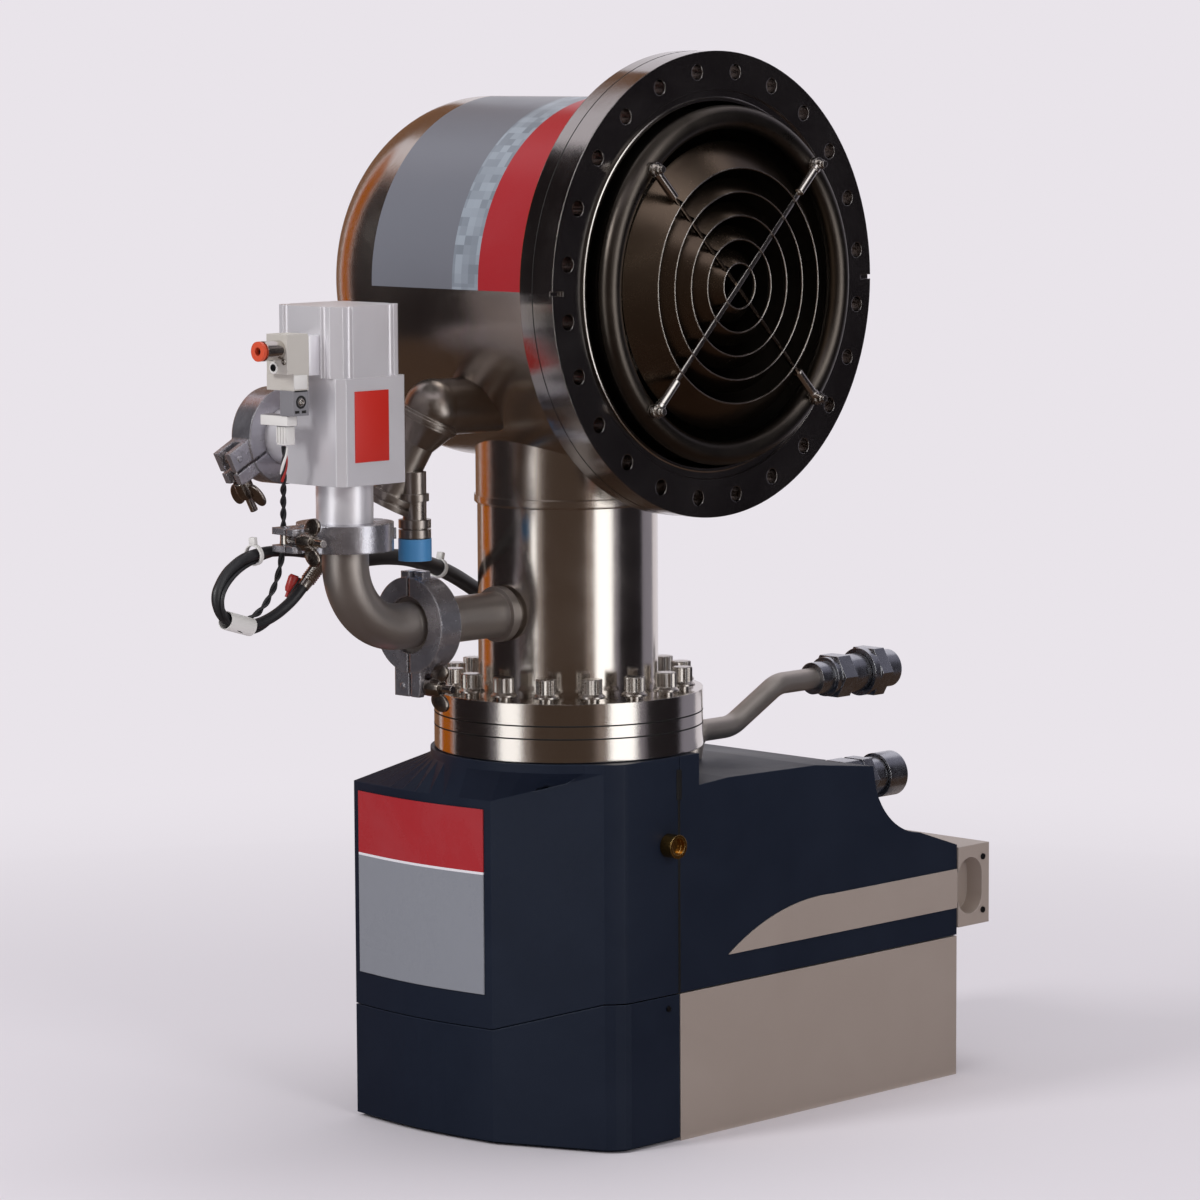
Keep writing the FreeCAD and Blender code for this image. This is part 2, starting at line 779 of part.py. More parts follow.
node("drive_motor", cut(fuse(motor_body, *motor_fins), motor_seat, motor_hole))
CRANK_FACE = "(yoke_thick / 2 + pin_gap + 3)"
crank_shaft = cylinder("shaft_dia", "housing_back + bearing_wide + 12 - %s" % CRANK_FACE, "0", CRANK_FACE,
                       "crank_z", **ALONG_Y)
crank_disc = cylinder("crank_dia", "crank_thick", "0", CRANK_FACE, "crank_z", **ALONG_Y)
crank_pin = cylinder("crank_pin", "4", "0", "yoke_thick / 2 + pin_gap", YOKE_REST, **ALONG_Y)
node("crankshaft", fuse(crank_shaft, crank_disc, crank_pin))


def bearing(start):
    return cut(
        cylinder("bearing_out", "bearing_wide", "0", start, "crank_z", **ALONG_Y),
        cylinder("shaft_dia + 2 * screw_fit", "bearing_wide + 2", "0", "%s - 1" % start, "crank_z",
                 **ALONG_Y),
    )


node("crank_bearings", group(bearing("housing_back - bearing_wide"), bearing("housing_back")))


# Front covers: a faceted shell whose corners all come from the plan of the base
def plan_points(inset):
    """The plan of the front covers, as (x, y, kind), from the left rear corner round to the right.

    kind says which part of the outline the point is on: left, front, slant or side.
    """
    left, right = size("left_x") + inset, size("side_x") - inset
    front, corner = size("front_y") + inset, size("front_corner") - inset * 0.2
    slant_x, slant_y = size("slant_x") - inset * 0.8, size("slant_y") + inset * 0.7
    start, split = size("side_start") + inset * 0.2, size("split_y") + (1.0 if inset else 0.0)
    points = []
    for step in range(6):
        points.append((left, split + (front - split) * step / 6.0, "left"))
    for step in range(10):
        share = step / 10.0
        bow = size("front_bulge") * math.sin(math.pi * share)
        points.append((left + (corner - left) * share, front - bow, "front"))
    for step in range(6):
        share = step / 6.0
        points.append((corner + (slant_x - corner) * share, front + (slant_y - front) * share, "slant"))
    for share in (0.0, 0.35, 0.7):
        x = slant_x + (right - slant_x) * math.sin(share * math.pi / 2)
        points.append((x, slant_y + (start - slant_y) * share, "side"))
    for step in range(6):
        points.append((right, start + (split - start) * step / 5.0, "side"))
    return points


def circle_spot(x, y, radius):
    """The point of the collar's circle that lies towards a point of the plan."""
    reach = math.hypot(x, y)
    return x / reach * radius, y / reach * radius


def gap_height(x, kind):
    """Height of the joint between the two front covers, which climbs along the slanted panel."""
    low, high = size("gap_front"), size("gap_side")
    if kind in ("left", "front"):
        return low
    if kind == "side":
        return high
    corner, far = size("front_corner"), size("slant_x")
    return low + (high - low) * min(max((x - corner) / (far - corner), 0.0), 1.0)


def skin(rings):
    """A closed solid from stacked rings of corners, with flat ends."""
    faces = []
    total = len(rings[0])
    for lower, upper in zip(rings, rings[1:]):
        for index in range(total):
            after = (index + 1) % total
            corners = [lower[index], lower[after], upper[after], upper[index]]
            for trio in ((0, 1, 2), (0, 2, 3)):
                spots = [V(*corners[number]) for number in trio]
                area = (spots[1] - spots[0]).cross(spots[2] - spots[0]).Length
                if area > 1e-6:
                    faces.append(Part.Face(Part.makePolygon(spots + [spots[0]])))
    for ring in (rings[0], rings[-1]):
        centre = V(sum(p[0] for p in ring) / total, sum(p[1] for p in ring) / total,
                   sum(p[2] for p in ring) / total)
        for index in range(total):
            spots = [V(*ring[index]), V(*ring[(index + 1) % total]), centre]
            if (spots[1] - spots[0]).cross(spots[2] - spots[0]).Length > 1e-6:
                faces.append(Part.Face(Part.makePolygon(spots + [spots[0]])))
    shell = Part.makeShell(faces)
    solid = Part.makeSolid(shell)
    if solid.Volume < 0:
        solid.reverse()
    return solid.removeSplitter()


def upper_cover_solid(inset, drop):
    """The upper front cover's outer form, or its inner room when inset is not nought."""
    plan = plan_points(inset)
    radius = size("collar_dia") / 2 - inset
    low, shoulder, lip, top = [], [], [], []
    slant_first = [p for p in plan if p[2] == "slant"][0]
    reach = size("slant_x") - slant_first[0]
    for x, y, kind in plan:
        under = gap_height(x, kind) + size("gap_wide") / 2
        low.append((x, y, under - (12.0 if inset else 0.0)))
        if kind == "side":
            share = 1.0
        elif kind == "slant":
            share = (x - slant_first[0]) / reach
        else:
            share = 0.0
        edge = size("shoulder_z") + (size("lip_z") - size("shoulder_z")) * share
        shoulder.append((x, y, edge - drop))
        if kind == "side":
            lip.append((x, y, size("lip_z") - drop + 0.4))
            top.append((x, y, size("cover_top") - drop))
        else:
            cx, cy = circle_spot(x, y, radius)
            if kind == "left" and y > 0:
                cx, cy = -radius, y
            lip.append((cx, cy, size("lip_z") - drop + 0.4))
            top.append((cx, cy, size("cover_top") - drop))
    return skin([low, shoulder, lip, top])


def lower_cover_solid(inset):
    plan = plan_points(inset)
    step = size("plinth_inset")
    if inset:
        rings = [
            [(x, y, size("cover_wall")) for x, y, kind in plan],
            [(x, y, gap_height(x, kind) + 12.0) for x, y, kind in plan],
        ]
        return skin(rings)
    foot = plan_points(step)
    foot = [(x, min(y, size("split_y")), kind) for x, y, kind in foot]
    return skin([
        [(x, y, 0.0) for x, y, kind in foot],
        [(x, y, size("plinth")) for x, y, kind in foot],
        [(x, y, size("plinth") + 0.01) for x, y, kind in plan],
        [(x, y, gap_height(x, kind) - size("gap_wide") / 2) for x, y, kind in plan],
    ])


cover_bore = Part.makeCylinder(
    size("cover_bore") / 2, size("cover_top") - size("shoulder_z") + 1, V(0, 0, size("shoulder_z")))
knob_spot = V(size("side_x") - 2 * size("cover_wall"), size("knob_y"), size("knob_z"))
knob_bore = Part.makeCylinder(
    size("knob_shank") / 2 + size("screw_fit"), 3 * size("cover_wall"), knob_spot, V(1, 0, 0))
upper_outer = upper_cover_solid(0.0, 0.0)
upper_inner = upper_cover_solid(size("cover_wall"), size("cover_wall"))
shape_node("upper_front_cover", upper_outer.cut(upper_inner).cut(cover_bore).cut(knob_bore))
shape_node("lower_front_cover", lower_cover_solid(0.0).cut(lower_cover_solid(size("cover_wall"))))

# Front label: a plate bowed like the face it lies on
plate_low, plate_high = size("label_low"), size("label_high")
face_left, face_right = size("left_x"), size("front_corner")
front_face, bulge = size("front_y"), size("front_bulge")
plate_thick, plate_gap = size("label_thick"), 0.02


def front_bow(x):
    """How far the front face stands out at x."""
    share = (x - face_left) / (face_right - face_left)
    return front_face - bulge * math.sin(math.pi * share)


label_rings = []
for level in (plate_low, plate_high):
    row = []
    near, far = face_left + size("label_inset"), face_right - size("label_inset")
    steps = 12
    for index in range(steps + 1):
        x = near + (far - near) * index / steps
        row.append((x, front_bow(x) - plate_thick - 0.25, level))
    for index in range(steps, -1, -1):
        x = near + (far - near) * index / steps
        row.append((x, front_bow(x) - plate_gap - 0.1, level))
    label_rings.append(row)
low_row, high_row = label_rings
label_faces = []
total = len(low_row)
for index in range(total):
    after = (index + 1) % total
    spots = [V(*low_row[index]), V(*low_row[after]), V(*high_row[after]), V(*high_row[index])]
    label_faces.append(Part.Face(Part.makePolygon(spots + [spots[0]])))
for row in (low_row, high_row):
    label_faces.append(Part.Face(Part.makePolygon([V(*p) for p in row] + [V(*row[0])])))
label_solid = Part.makeSolid(Part.makeShell(label_faces))
if label_solid.Volume < 0:
    label_solid.reverse()
shape_node("front_label", label_solid)

# Rear cover: side profile pressed through the full width, then hollowed
REAR_START = "(split_y + split_gap)"


def rear_outline(inset):
    """The rear cover's side profile, as (y, z) corners; inset is a formula."""
    return [
        ("%s" % REAR_START, "rear_low"),
        ("box_end - %s" % inset, "rear_low"),
        ("box_end - %s" % inset, "rear_end_z - %s" % inset),
        ("rear_curve_y - %s * 0.6" % inset, "rear_curve_z - %s" % inset),
        ("rear_back_y - %s" % inset, "rear_back_z - %s * 0.4" % inset),
        ("rear_fall_y - %s" % inset, "rear_fall_z - %s" % inset),
        ("rear_crown_y", "rear_top - 1.4 - %s" % inset),
        ("rear_block_end + 24", "rear_top - %s" % inset),
        ("rear_block_end - %s" % inset, "rear_top - 1.6 - %s" % inset),
        ("rear_block_end - %s" % inset, "cover_top - %s" % inset),
        ("%s" % REAR_START, "cover_top - %s" % inset),
    ]


rear_outer = padded_body("rear_outer", "YZ_Plane", rear_outline("0"), "side_x - left_x",
                         arcs={3: "-rear_curve"})
rear_inner = padded_body("rear_inner", "YZ_Plane", rear_outline("cover_wall"),
                         "side_x - left_x - 2 * cover_wall", arcs={3: "-rear_curve - cover_wall"})
place(rear_outer, x="left_x")
place(rear_inner, x="left_x + cover_wall")
rear_mouth = box("left_x + cover_wall", "side_x - cover_wall", "%s - 1" % REAR_START, "%s + 0.5" % REAR_START,
                 "rear_low - 1", "cover_top - cover_wall")
rear_floor = box("left_x + cover_wall", "side_x - cover_wall", "%s + cover_wall" % REAR_START,
                 "box_end - cover_wall", "rear_low - 1", "rear_low + 1")
rear_neck = cylinder("cover_bore", "60", z="rear_top - 40")
supply_hole = cylinder("helium_dia + 0.06", "40")
supply_hole.Placement = FreeCAD.Placement(V(0, 0, 0), FreeCAD.Rotation(V(0, 0, 1), V(
    0, size("supply_lean"), size("supply_low") - size("rear_top") + 14)))
for axis, text in (("x", "supply_x"), ("y", "supply_start"), ("z", "rear_top - 14")):
    bind(supply_hole, "Placement.Base." + axis, text)
return_hole = cylinder("hex_flats * 1.1547 + 1.6", "24", "return_x", "return_start - 4", "return_z",
                       **ALONG_Y)
block_left_cut = box("left_x - 1", "-collar_dia / 2 + 4", "%s - 1" % REAR_START, "rear_block_end + 1",
                     "rear_top - 1.6", "cover_top + 1")
node("rear_cover", cut(rear_outer, rear_inner, rear_mouth, rear_floor, rear_neck, supply_hole, return_hole,
                       block_left_cut))

# Trim plate on the rear cover's side: a long blade with a curved upper edge
trim = padded_body("trim", "YZ_Plane", [
    ("trim_tip", "trim_low"),
    ("box_end - 0.5", "trim_low"),
    ("box_end - 0.5", "trim_end_z"),
    ("trim_rise_y + 30", "trim_rise_z + 2.4"),
], "trim_thick", arcs={3: "trim_curve"})
node("rear_trim", place(trim, x="side_x + 0.05"))

# Control box: folded sheet case on the floor
case_outer = box("left_x", "side_x", REAR_START, "box_end", "0", "box_top")
case_inner = box("left_x + box_wall", "side_x - box_wall", "%s + box_wall" % REAR_START, "box_end - box_wall",
                 "box_wall", "box_top - box_wall")
case_window = box("left_x + 30", "left_x + 120", "box_end - 3", "box_end + 1", "14", "60")
node("module_box", cut(case_outer, case_inner, case_window))
board = box("left_x + board_inset", "side_x - board_inset", "%s + board_inset" % REAR_START,
            "box_end - board_inset", "board_low", "board_low + board_thick")
pillars = [
    cylinder("7", "board_low - box_wall", x, y, "box_wall")
    for x in ("left_x + board_inset + 6", "side_x - board_inset - 6")
    for y in ("%s + board_inset + 6" % REAR_START, "box_end - board_inset - 6")
]
chips = [
    box("left_x + 30", "left_x + 70", "60", "110", "board_low + board_thick", "board_low + board_thick + 14"),
    box("left_x + 34", "left_x + 116", "box_end - 2.9", "box_end + 3", "16", "58"),
    box("left_x + 40", "left_x + 110", "box_end - board_inset - 18", "box_end - 2.9",
        "board_low + board_thick", "54"),
]
node("control_board", fuse(board, *pillars, *chips))

# Connector block behind the rear cover, with its recessed port
block = box("block_left", "block_right", "box_end + 0.4", "block_end", "block_low", "block_high")
PORT_Z = "((block_low + block_high) / 2)"
port_room = fuse(
    box("block_right - port_deep", "block_right + 1", "port_y - port_wide / 2", "port_y + port_wide / 2",
        "%s - port_high / 2 + port_wide / 2" % PORT_Z, "%s + port_high / 2 - port_wide / 2" % PORT_Z),
    cylinder("port_wide", "port_deep + 1", "block_right - port_deep", "port_y",
             "%s - port_high / 2 + port_wide / 2" % PORT_Z, **ALONG_X),
    cylinder("port_wide", "port_deep + 1", "block_right - port_deep", "port_y",
             "%s + port_high / 2 - port_wide / 2" % PORT_Z, **ALONG_X),
)
node("connector_block", cut(block, port_room))

# Small screws of the covers
SCREW_SPOTS = [
    ("side_x", "-1.2", "gap_side - 7.4", "3.2"),
    ("block_right", "block_end - 6", "block_high - 8", "3.6"),
    ("block_right", "block_end - 6", "block_low + 8", "3.6"),
]
node("cover_screws", group(*[
    cylinder(dia, "0.8", "%s + 0.02" % x, y, z, **ALONG_X) for x, y, z, dia in SCREW_SPOTS]))

# Brass thumbscrew that holds the upper front cover
knob_head = cylinder("knob_dia", "knob_long", "side_x + 0.3", "knob_y", "knob_z", **ALONG_X)
knob_dish = cylinder("knob_dia - 4", "3", "side_x + 0.3 + knob_long - 2.6", "knob_y", "knob_z", **ALONG_X)
knob_shank = cylinder("knob_shank", "12", "side_x - 11", "knob_y", "knob_z", **ALONG_X)
node("cover_thumbscrew", fuse(cut(knob_head, knob_dish), knob_shank))

# Roughing valve, built about its own axis, then turned and moved as one
VALVE = dict(axis=(0, 0, 1), angle="valve_turn", x="0", y="valve_y", z="0")


def chamfered(wide, low, high, chamfer):
    """A square bar, upright, with its four corners cut off at 45 degrees."""
    bar = box("-%s / 2" % wide, "%s / 2" % wide, "-%s / 2" % wide, "%s / 2" % wide, low, high)
    reach = "(%s - %s) * 0.7071068 * 2" % (wide, chamfer)
    diamond = box("-(%s) / 2" % reach, "(%s) / 2" % reach, "-(%s) / 2" % reach, "(%s) / 2" % reach, low, high)
    return common(bar, turned(diamond, (0, 0, 1), "45"))


NECK_FLANGE = "(valve_clamp_z + kf_gap / 2)"
valve_block = chamfered("valve_wide", "valve_low", "valve_step", "valve_chamfer")
valve_neck = cylinder("neck_dia", "valve_low - %s" % NECK_FLANGE, z=NECK_FLANGE)
valve_flange = cylinder("kf_dia", "kf_thick", z=NECK_FLANGE)
outlet_neck = cylinder("neck_dia", "port_reach - kf_gap / 2 - 20", "-port_reach + kf_gap / 2", "0",
                       "port_z", **ALONG_X)
outlet_flange = cylinder("kf_dia", "kf_thick", "-port_reach + kf_gap / 2", "0", "port_z", **ALONG_X)
neck_room = cylinder("neck_bore", "valve_low - %s + 22" % NECK_FLANGE, z="%s - 1" % NECK_FLANGE)
outlet_room = cylinder("neck_bore", "port_reach", "-port_reach - 1", "0", "port_z", **ALONG_X)
chamber_low = "(valve_low + 14)"
valve_chamber = cylinder("disc_dia + 5", "valve_step - 4 - %s" % chamber_low, z=chamber_low)
stem_bore = cylinder("stem_dia + 0.12", "20", z="valve_step - 10")
node("valve_body", turned(cut(
    fuse(valve_block, valve_neck, valve_flange, outlet_neck, outlet_flange),
    neck_room, outlet_room, valve_chamber, stem_bore), **VALVE))


def grooves():
    """Tall grooves in the sides of the drawn actuator bar."""
    strips = []
    for side in (0, 90, 180, 270):
        for spot in ("-cylinder_wide * 0.30", "cylinder_wide * 0.30"):
            strips.append(turned(
                cylinder("4.6", "valve_high - valve_step + 2", spot, "-cylinder_wide / 2 - 0.6",
                         "valve_step - 1"),
                (0, 0, 1), "%d" % side, "cylinder_shift", "cylinder_shift"))
    return strips


bar = turned(chamfered("cylinder_wide", "valve_step", "valve_high", "valve_chamfer - 1"), (0, 0, 1), "0",
             "cylinder_shift", "cylinder_shift")
bar_room = cylinder("cylinder_bore", "valve_high - valve_step - 8", z="valve_step + 3")
bar_bore = cylinder("stem_dia + 0.12", "10", z="valve_step - 1")
node("valve_cylinder", turned(cut(bar, bar_room, bar_bore, *grooves()), **VALVE))
disc_low = "(%s + 0.3)" % chamber_low
piston_low = "(valve_step + 6)"
node("valve_piston", turned(fuse(
    cylinder("disc_dia", "disc_thick", z=disc_low),
    cylinder("stem_dia", "%s - %s" % (piston_low, disc_low), z=disc_low),
    cylinder("cylinder_bore - 0.12", "piston_thick", z=piston_low),
), **VALVE))


def spring_shape():
    """A coil of straight pieces, square to the pipe's run, between piston and lid."""
    low = value_of(piston_low) + size("piston_thick") + size("spring_wire") / 2 + 0.2
    high = size("valve_high") - 5 - size("spring_wire") / 2 - 0.2
    turns, steps = int(size("spring_turns")), 8
    radius = size("spring_dia") / 2
    spots = []
    for index in range(turns * steps + 1):
        turn = 2 * math.pi * index / steps
        spots.append(V(radius * math.cos(turn), radius * math.sin(turn),
                       low + (high - low) * index / (turns * steps)))
    path = Part.makePolygon(spots)
    section = Part.Wire(Part.makeCircle(size("spring_wire") / 2, spots[0], spots[1] - spots[0]))
    return path.makePipeShell([section], True, True, 1)


spring = shape_node("valve_spring", spring_shape())
spring.Placement = FreeCAD.Placement(V(0, size("valve_y"), 0),
                                     FreeCAD.Rotation(V(0, 0, 1), size("valve_turn")))

# Pilot solenoid: its pad stands on the valve's front face, and the coil hangs under its moulded body
PAD_BACK = "(-cylinder_wide / 2 + cylinder_shift - 0.05)"
SOL_BACK = "(%s - pad_thick)" % PAD_BACK
SOL_END = "(%s - sol_long)" % SOL_BACK
COIL_END = "(%s - coil_long)" % SOL_BACK
sol_pad = box("sol_left + 1", "sol_right", SOL_BACK, PAD_BACK, "pad_low", "pad_high")
sol_block = box("sol_left", "sol_right", SOL_END, SOL_BACK, "sol_low", "sol_high")
sol_step = box("step_left", "sol_right", "%s - step_long" % SOL_BACK, SOL_BACK, "step_low", "sol_low")
button_hole = cylinder("button_dia + 0.14", "5", "button_x", "%s - 1" % SOL_END, "button_z", **ALONG_Y)
fitting_hole = cylinder("6", "10", "fitting_x", "%s - 1" % SOL_END, "fitting_z", **ALONG_Y)
node("solenoid_body", turned(cut(fuse(sol_pad, sol_block, sol_step), button_hole, fitting_hole), **VALVE))
coil = box("coil_left", "sol_right", COIL_END, SOL_BACK, "coil_low", "step_low")
plate = box("plate_left", "plate_right", "%s + 1" % COIL_END, "%s - 3" % SOL_BACK, "plate_low", "coil_low")
plug = box("plug_left", "plug_right", "%s + 2" % COIL_END, "%s - 4" % SOL_BACK, "plug_low", "plate_low")
node("solenoid_coil", turned(fuse(coil, plate, plug), **VALVE))
FITTING_END = "(%s - fitting_long)" % SOL_END
fitting_shell = cylinder("fitting_dia", "fitting_long", "fitting_x", FITTING_END, "fitting_z", **ALONG_Y)
fitting_room = cylinder(
    "ring_dia - 2.4", "fitting_long - 1", "fitting_x", "%s - 1" % FITTING_END, "fitting_z", **ALONG_Y)
node("push_fitting", turned(cut(fitting_shell, fitting_room), **VALVE))
RING_END = "(%s - ring_out)" % FITTING_END
ring_sleeve = cylinder(
    "ring_dia - 2.4 - 0.12", "ring_long + ring_out", "fitting_x", RING_END, "fitting_z", **ALONG_Y)
ring_rim = cylinder("ring_dia", "1.8", "fitting_x", RING_END, "fitting_z", **ALONG_Y)
ring_hole = cylinder("4.4", "30", "fitting_x", "%s - 10" % FITTING_END, "fitting_z", **ALONG_Y)
node("release_ring", turned(cut(fuse(ring_sleeve, ring_rim), ring_hole), **VALVE))
node("override_button", turned(cylinder(
    "button_dia", "2 + button_out", "button_x", "%s - button_out" % SOL_END, "button_z", **ALONG_Y), **VALVE))


# Elbow and side tube of the roughing line
ELBOW_TOP = "(valve_clamp_z - kf_gap / 2)"
SIDE_FACE = "(side_face - kf_gap / 2)"
elbow_flange_top = cylinder("kf_dia", "kf_thick", "0", "valve_y", "%s - kf_thick" % ELBOW_TOP)
elbow_flange_side = cylinder("kf_dia", "kf_thick", "0", "%s - kf_thick" % SIDE_FACE, "side_z", **ALONG_Y)


def tube_along(path, dia):
    """A solid tube along a path of straight runs and tangent arcs."""
    first = path.Edges[0]
    start = first.valueAt(first.FirstParameter)
    toward = first.tangentAt(first.FirstParameter)
    section = Part.Wire(Part.makeCircle(dia / 2, start, toward))
    return path.makePipeShell([section], True, True)


def elbow_path(extra):
    """Down from the valve's flange, round the bend and along to the side tube's flange."""
    y, z, bend = size("valve_y"), size("side_z"), size("bend_radius")
    top, end = value_of(ELBOW_TOP) + extra, value_of(SIDE_FACE) + extra
    half = bend * (1 - math.cos(math.pi / 4))
    return Part.Wire([
        Part.LineSegment(V(0, y, top), V(0, y, z + bend)).toShape(),
        Part.Arc(V(0, y, z + bend), V(0, y + half, z + half), V(0, y + bend, z)).toShape(),
        Part.LineSegment(V(0, y + bend, z), V(0, end, z)).toShape(),
    ])


def swept(path, dia):
    """A tube worked out here, as a step that later steps can cut and join."""
    thing = fresh("Part::Feature")
    thing.Shape = tube_along(path, dia)
    return thing


node("elbow", cut(
    fuse(elbow_flange_top, swept(elbow_path(0.0), size("kf_tube")), elbow_flange_side),
    swept(elbow_path(1.0), size("kf_bore"))))
TUBE_FACE = "(side_face + kf_gap / 2)"
tube_start = cylinder("kf_dia", "kf_thick", "0", TUBE_FACE, "side_z", **ALONG_Y)
tube_run = cylinder("kf_tube", "-column_od / 2 + column_wall - %s" % TUBE_FACE, "0", TUBE_FACE, "side_z",
                    **ALONG_Y)
tube_collar = cylinder("side_collar", "side_collar_wide", "0", "-column_od / 2 - 2 - side_collar_wide",
                       "side_z", **ALONG_Y)
tube_room = cylinder("kf_bore", "80", "0", "%s - 1" % TUBE_FACE, "side_z", **ALONG_Y)
column_inside = cylinder("column_od - 2 * column_wall", "80", z="side_z - 40")
node("side_tube", cut(fuse(tube_start, tube_run, tube_collar), tube_room, column_inside))


# Quick clamps, built with the pipe along Z, the lugs along +X and the bolt along +Y
def clamp_ring():
    outside = cylinder("clamp_od", "clamp_wide", z="-clamp_wide / 2")
    lip = cylinder("2 * clamp_lip", "clamp_wide + 2", z="-clamp_wide / 2 - 1")
    groove = cylinder("kf_dia + 2 * clamp_room", "clamp_groove", z="-clamp_groove / 2")
    return outside, [lip, groove]


def clamp_jaw(upper):
    """Half of a clamp: the swinging half above the split, or the fixed half below it."""
    outside, rooms = clamp_ring()
    if upper:
        half = box("-50", "60", "clamp_split / 2", "60", "-20", "20")
        lug = common(
            box("clamp_od / 2 - 6", "lug_end", "clamp_split / 2", "lug_high", "-lug_wide / 2",
                "lug_wide / 2"),
            fuse(
                cylinder("2 * (lug_high - pin_drop)", "30", "lug_reach", "pin_drop", "-15"),
                box("clamp_od / 2 - 6", "lug_reach", "0", "lug_high", "-15", "15"),
            ),
        )
        boss = box("-clamp_od / 2 - 3", "-clamp_od / 2 + 4", "clamp_split / 2", "7", "-3", "3")
    else:
        half = box("-50", "60", "-60", "-clamp_split / 2", "-20", "20")
        lug = box("clamp_od / 2 - 6", "lug_end", "lug_base", "-clamp_split / 2", "-lug_wide / 2",
                  "lug_wide / 2")
        boss = box("-clamp_od / 2 - 3", "-clamp_od / 2 + 4", "-7", "-clamp_split / 2", "-6", "6")
    slot = box("lug_reach - 7.4", "lug_end + 1", "-40", "40", "-slot_wide / 2", "slot_wide / 2")
    solid = cut(common(fuse(outside, lug, boss), half), *rooms, slot)
    if upper:
        return solid
    return cut(solid, cylinder("pin_dia", "40", "lug_reach", "pin_drop", "-20"))


def clamp_pin():
    return cylinder("pin_dia", "lug_wide + 1", "lug_reach", "pin_drop", "-(lug_wide + 1) / 2")


def clamp_bolt():
    eye = cylinder("pin_dia + 4.4", "slot_wide - 0.7", "lug_reach", "pin_drop", "-(slot_wide - 0.7) / 2")
    hole = cylinder("pin_dia + 0.14", "20", "lug_reach", "pin_drop", "-10")
    shank = cylinder("bolt_dia", "bolt_long", "lug_reach", "pin_drop", "0", **ALONG_Y)
    return cut(fuse(eye, shank), hole)


def clamp_nut(wings_along_pipe):
    """The wing nut; its wings lie along the pipe or along the lugs."""
    start = "(lug_high + nut_room)"
    hub = cylinder("nut_dia", "nut_high", "lug_reach", start, "0", **ALONG_Y)
    low, high = "%s + 1.5" % start, "%s + wing_rise" % start
    if wings_along_pipe:
        wings = box("lug_reach - wing_thick / 2", "lug_reach + wing_thick / 2", low, high,
                    "-wing_span / 2", "wing_span / 2")
        notch = cylinder("9", "20", "lug_reach - 10", "%s + wing_rise + 3" % start, "0", **ALONG_X)
    else:
        wings = box("lug_reach - wing_span / 2", "lug_reach + wing_span / 2", low, high,
                    "-wing_thick / 2", "wing_thick / 2")
        notch = cylinder("9", "20", "lug_reach", "%s + wing_rise + 3" % start, "-10")
    flare = cone("14", "30", "wing_rise - 1.5", "lug_reach", low, "0", **ALONG_Y)
    hole = cylinder("bolt_dia + 0.12", "40", "lug_reach", "%s - 1" % start, "0", **ALONG_Y)
    return cut(fuse(hub, cut(common(wings, flare), notch)), hole)


def to_valve(thing):
    return turned(thing, (0, 0, 1), "valve_clamp_turn", "0", "valve_y", "valve_clamp_z")


def to_column(thing):
    return oriented(thing, (0, 0, -1), (1, 0, 0), "0", "side_face", "side_z")


def to_outlet(thing):
    tilted = turned(thing, (0, 0, 1), "outlet_clamp_tilt")
    laid = oriented(tilted, (0, -1, 0), (0, 0, -1), "-port_reach", "0", "port_z")
    return turned(laid, **VALVE)


PLACES = (("outlet", to_outlet, True), ("valve", to_valve, True), ("column", to_column, False))
node("clamp_fixed_jaws", group(*[to(fuse(clamp_jaw(False), clamp_pin())) for word, to, along in PLACES]))
node("clamp_swing_jaws", group(*[to(clamp_jaw(True)) for word, to, along in PLACES]))
for word, to, along in PLACES:
    node(word + "_clamp_bolt", to(clamp_bolt()))
    node(word + "_clamp_nut", to(clamp_nut(along)))


def centering_ring():
    carrier = cut(cylinder("kf_dia - 4", "kf_gap", z="-kf_gap / 2"), cylinder("kf_bore", "10", z="-5"))
    return carrier


node("centering_rings", group(*[to(centering_ring()) for word, to, along in PLACES]))

# Relief branch: nozzle from the vessel, ring joint, slanting leg and the small side branch
knee = V(size("relief_x"), size("relief_y"), size("relief_z"))
leg_end = V(size("leg_end_x"), size("leg_end_y"), size("leg_end_z"))
leg_run = (leg_end - knee).Length


def on_leg(dia, along, length, dia_end=None):
    """A round piece on the slanting leg: along is measured from the knee, down the leg."""
    thing = cone(dia, dia_end, length) if dia_end else cylinder(dia, length)
    start = knee + (leg_end - knee) * (along / leg_run)
    thing.Placement = FreeCAD.Placement(V(0, 0, 0), FreeCAD.Rotation(V(0, 0, 1), leg_end - knee))
    for axis, number in (("x", start.x), ("y", start.y), ("z", start.z)):
        thing.setExpression("Placement.Base." + axis, "%.4f" % number)
    return thing


nozzle = cylinder("relief_dia", "-relief_y - 60", "relief_x", "relief_y", "relief_z", **ALONG_Y)
vessel_inside = cylinder("vessel_od - 2 * vessel_wall", "200", "-60", "0", "inlet_z", **ALONG_X)
ball = fresh("Part::Sphere")
bind(ball, "Radius", "relief_dia / 2 + 0.4")
place(ball, "relief_x", "relief_y", "relief_z")
leg_pieces = [
    on_leg("relief_ring - 2", 5.0, "5"),
    on_leg("relief_ring", 6.5, "2"),
    on_leg("relief_ring - 3", 10.0, "12", "leg_dia"),
    on_leg("leg_dia", 2.0, "%.4f" % (leg_run - 2.0)),
    on_leg("leg_flange", leg_run - 3.0, "3"),
    on_leg("leg_flange - 5", leg_run - 1.0, "4"),
    on_leg("leg_flange", leg_run + 1.6, "3"),
]
branch = cylinder("branch_dia", "30", "branch_x", "branch_y", "branch_low + 6")
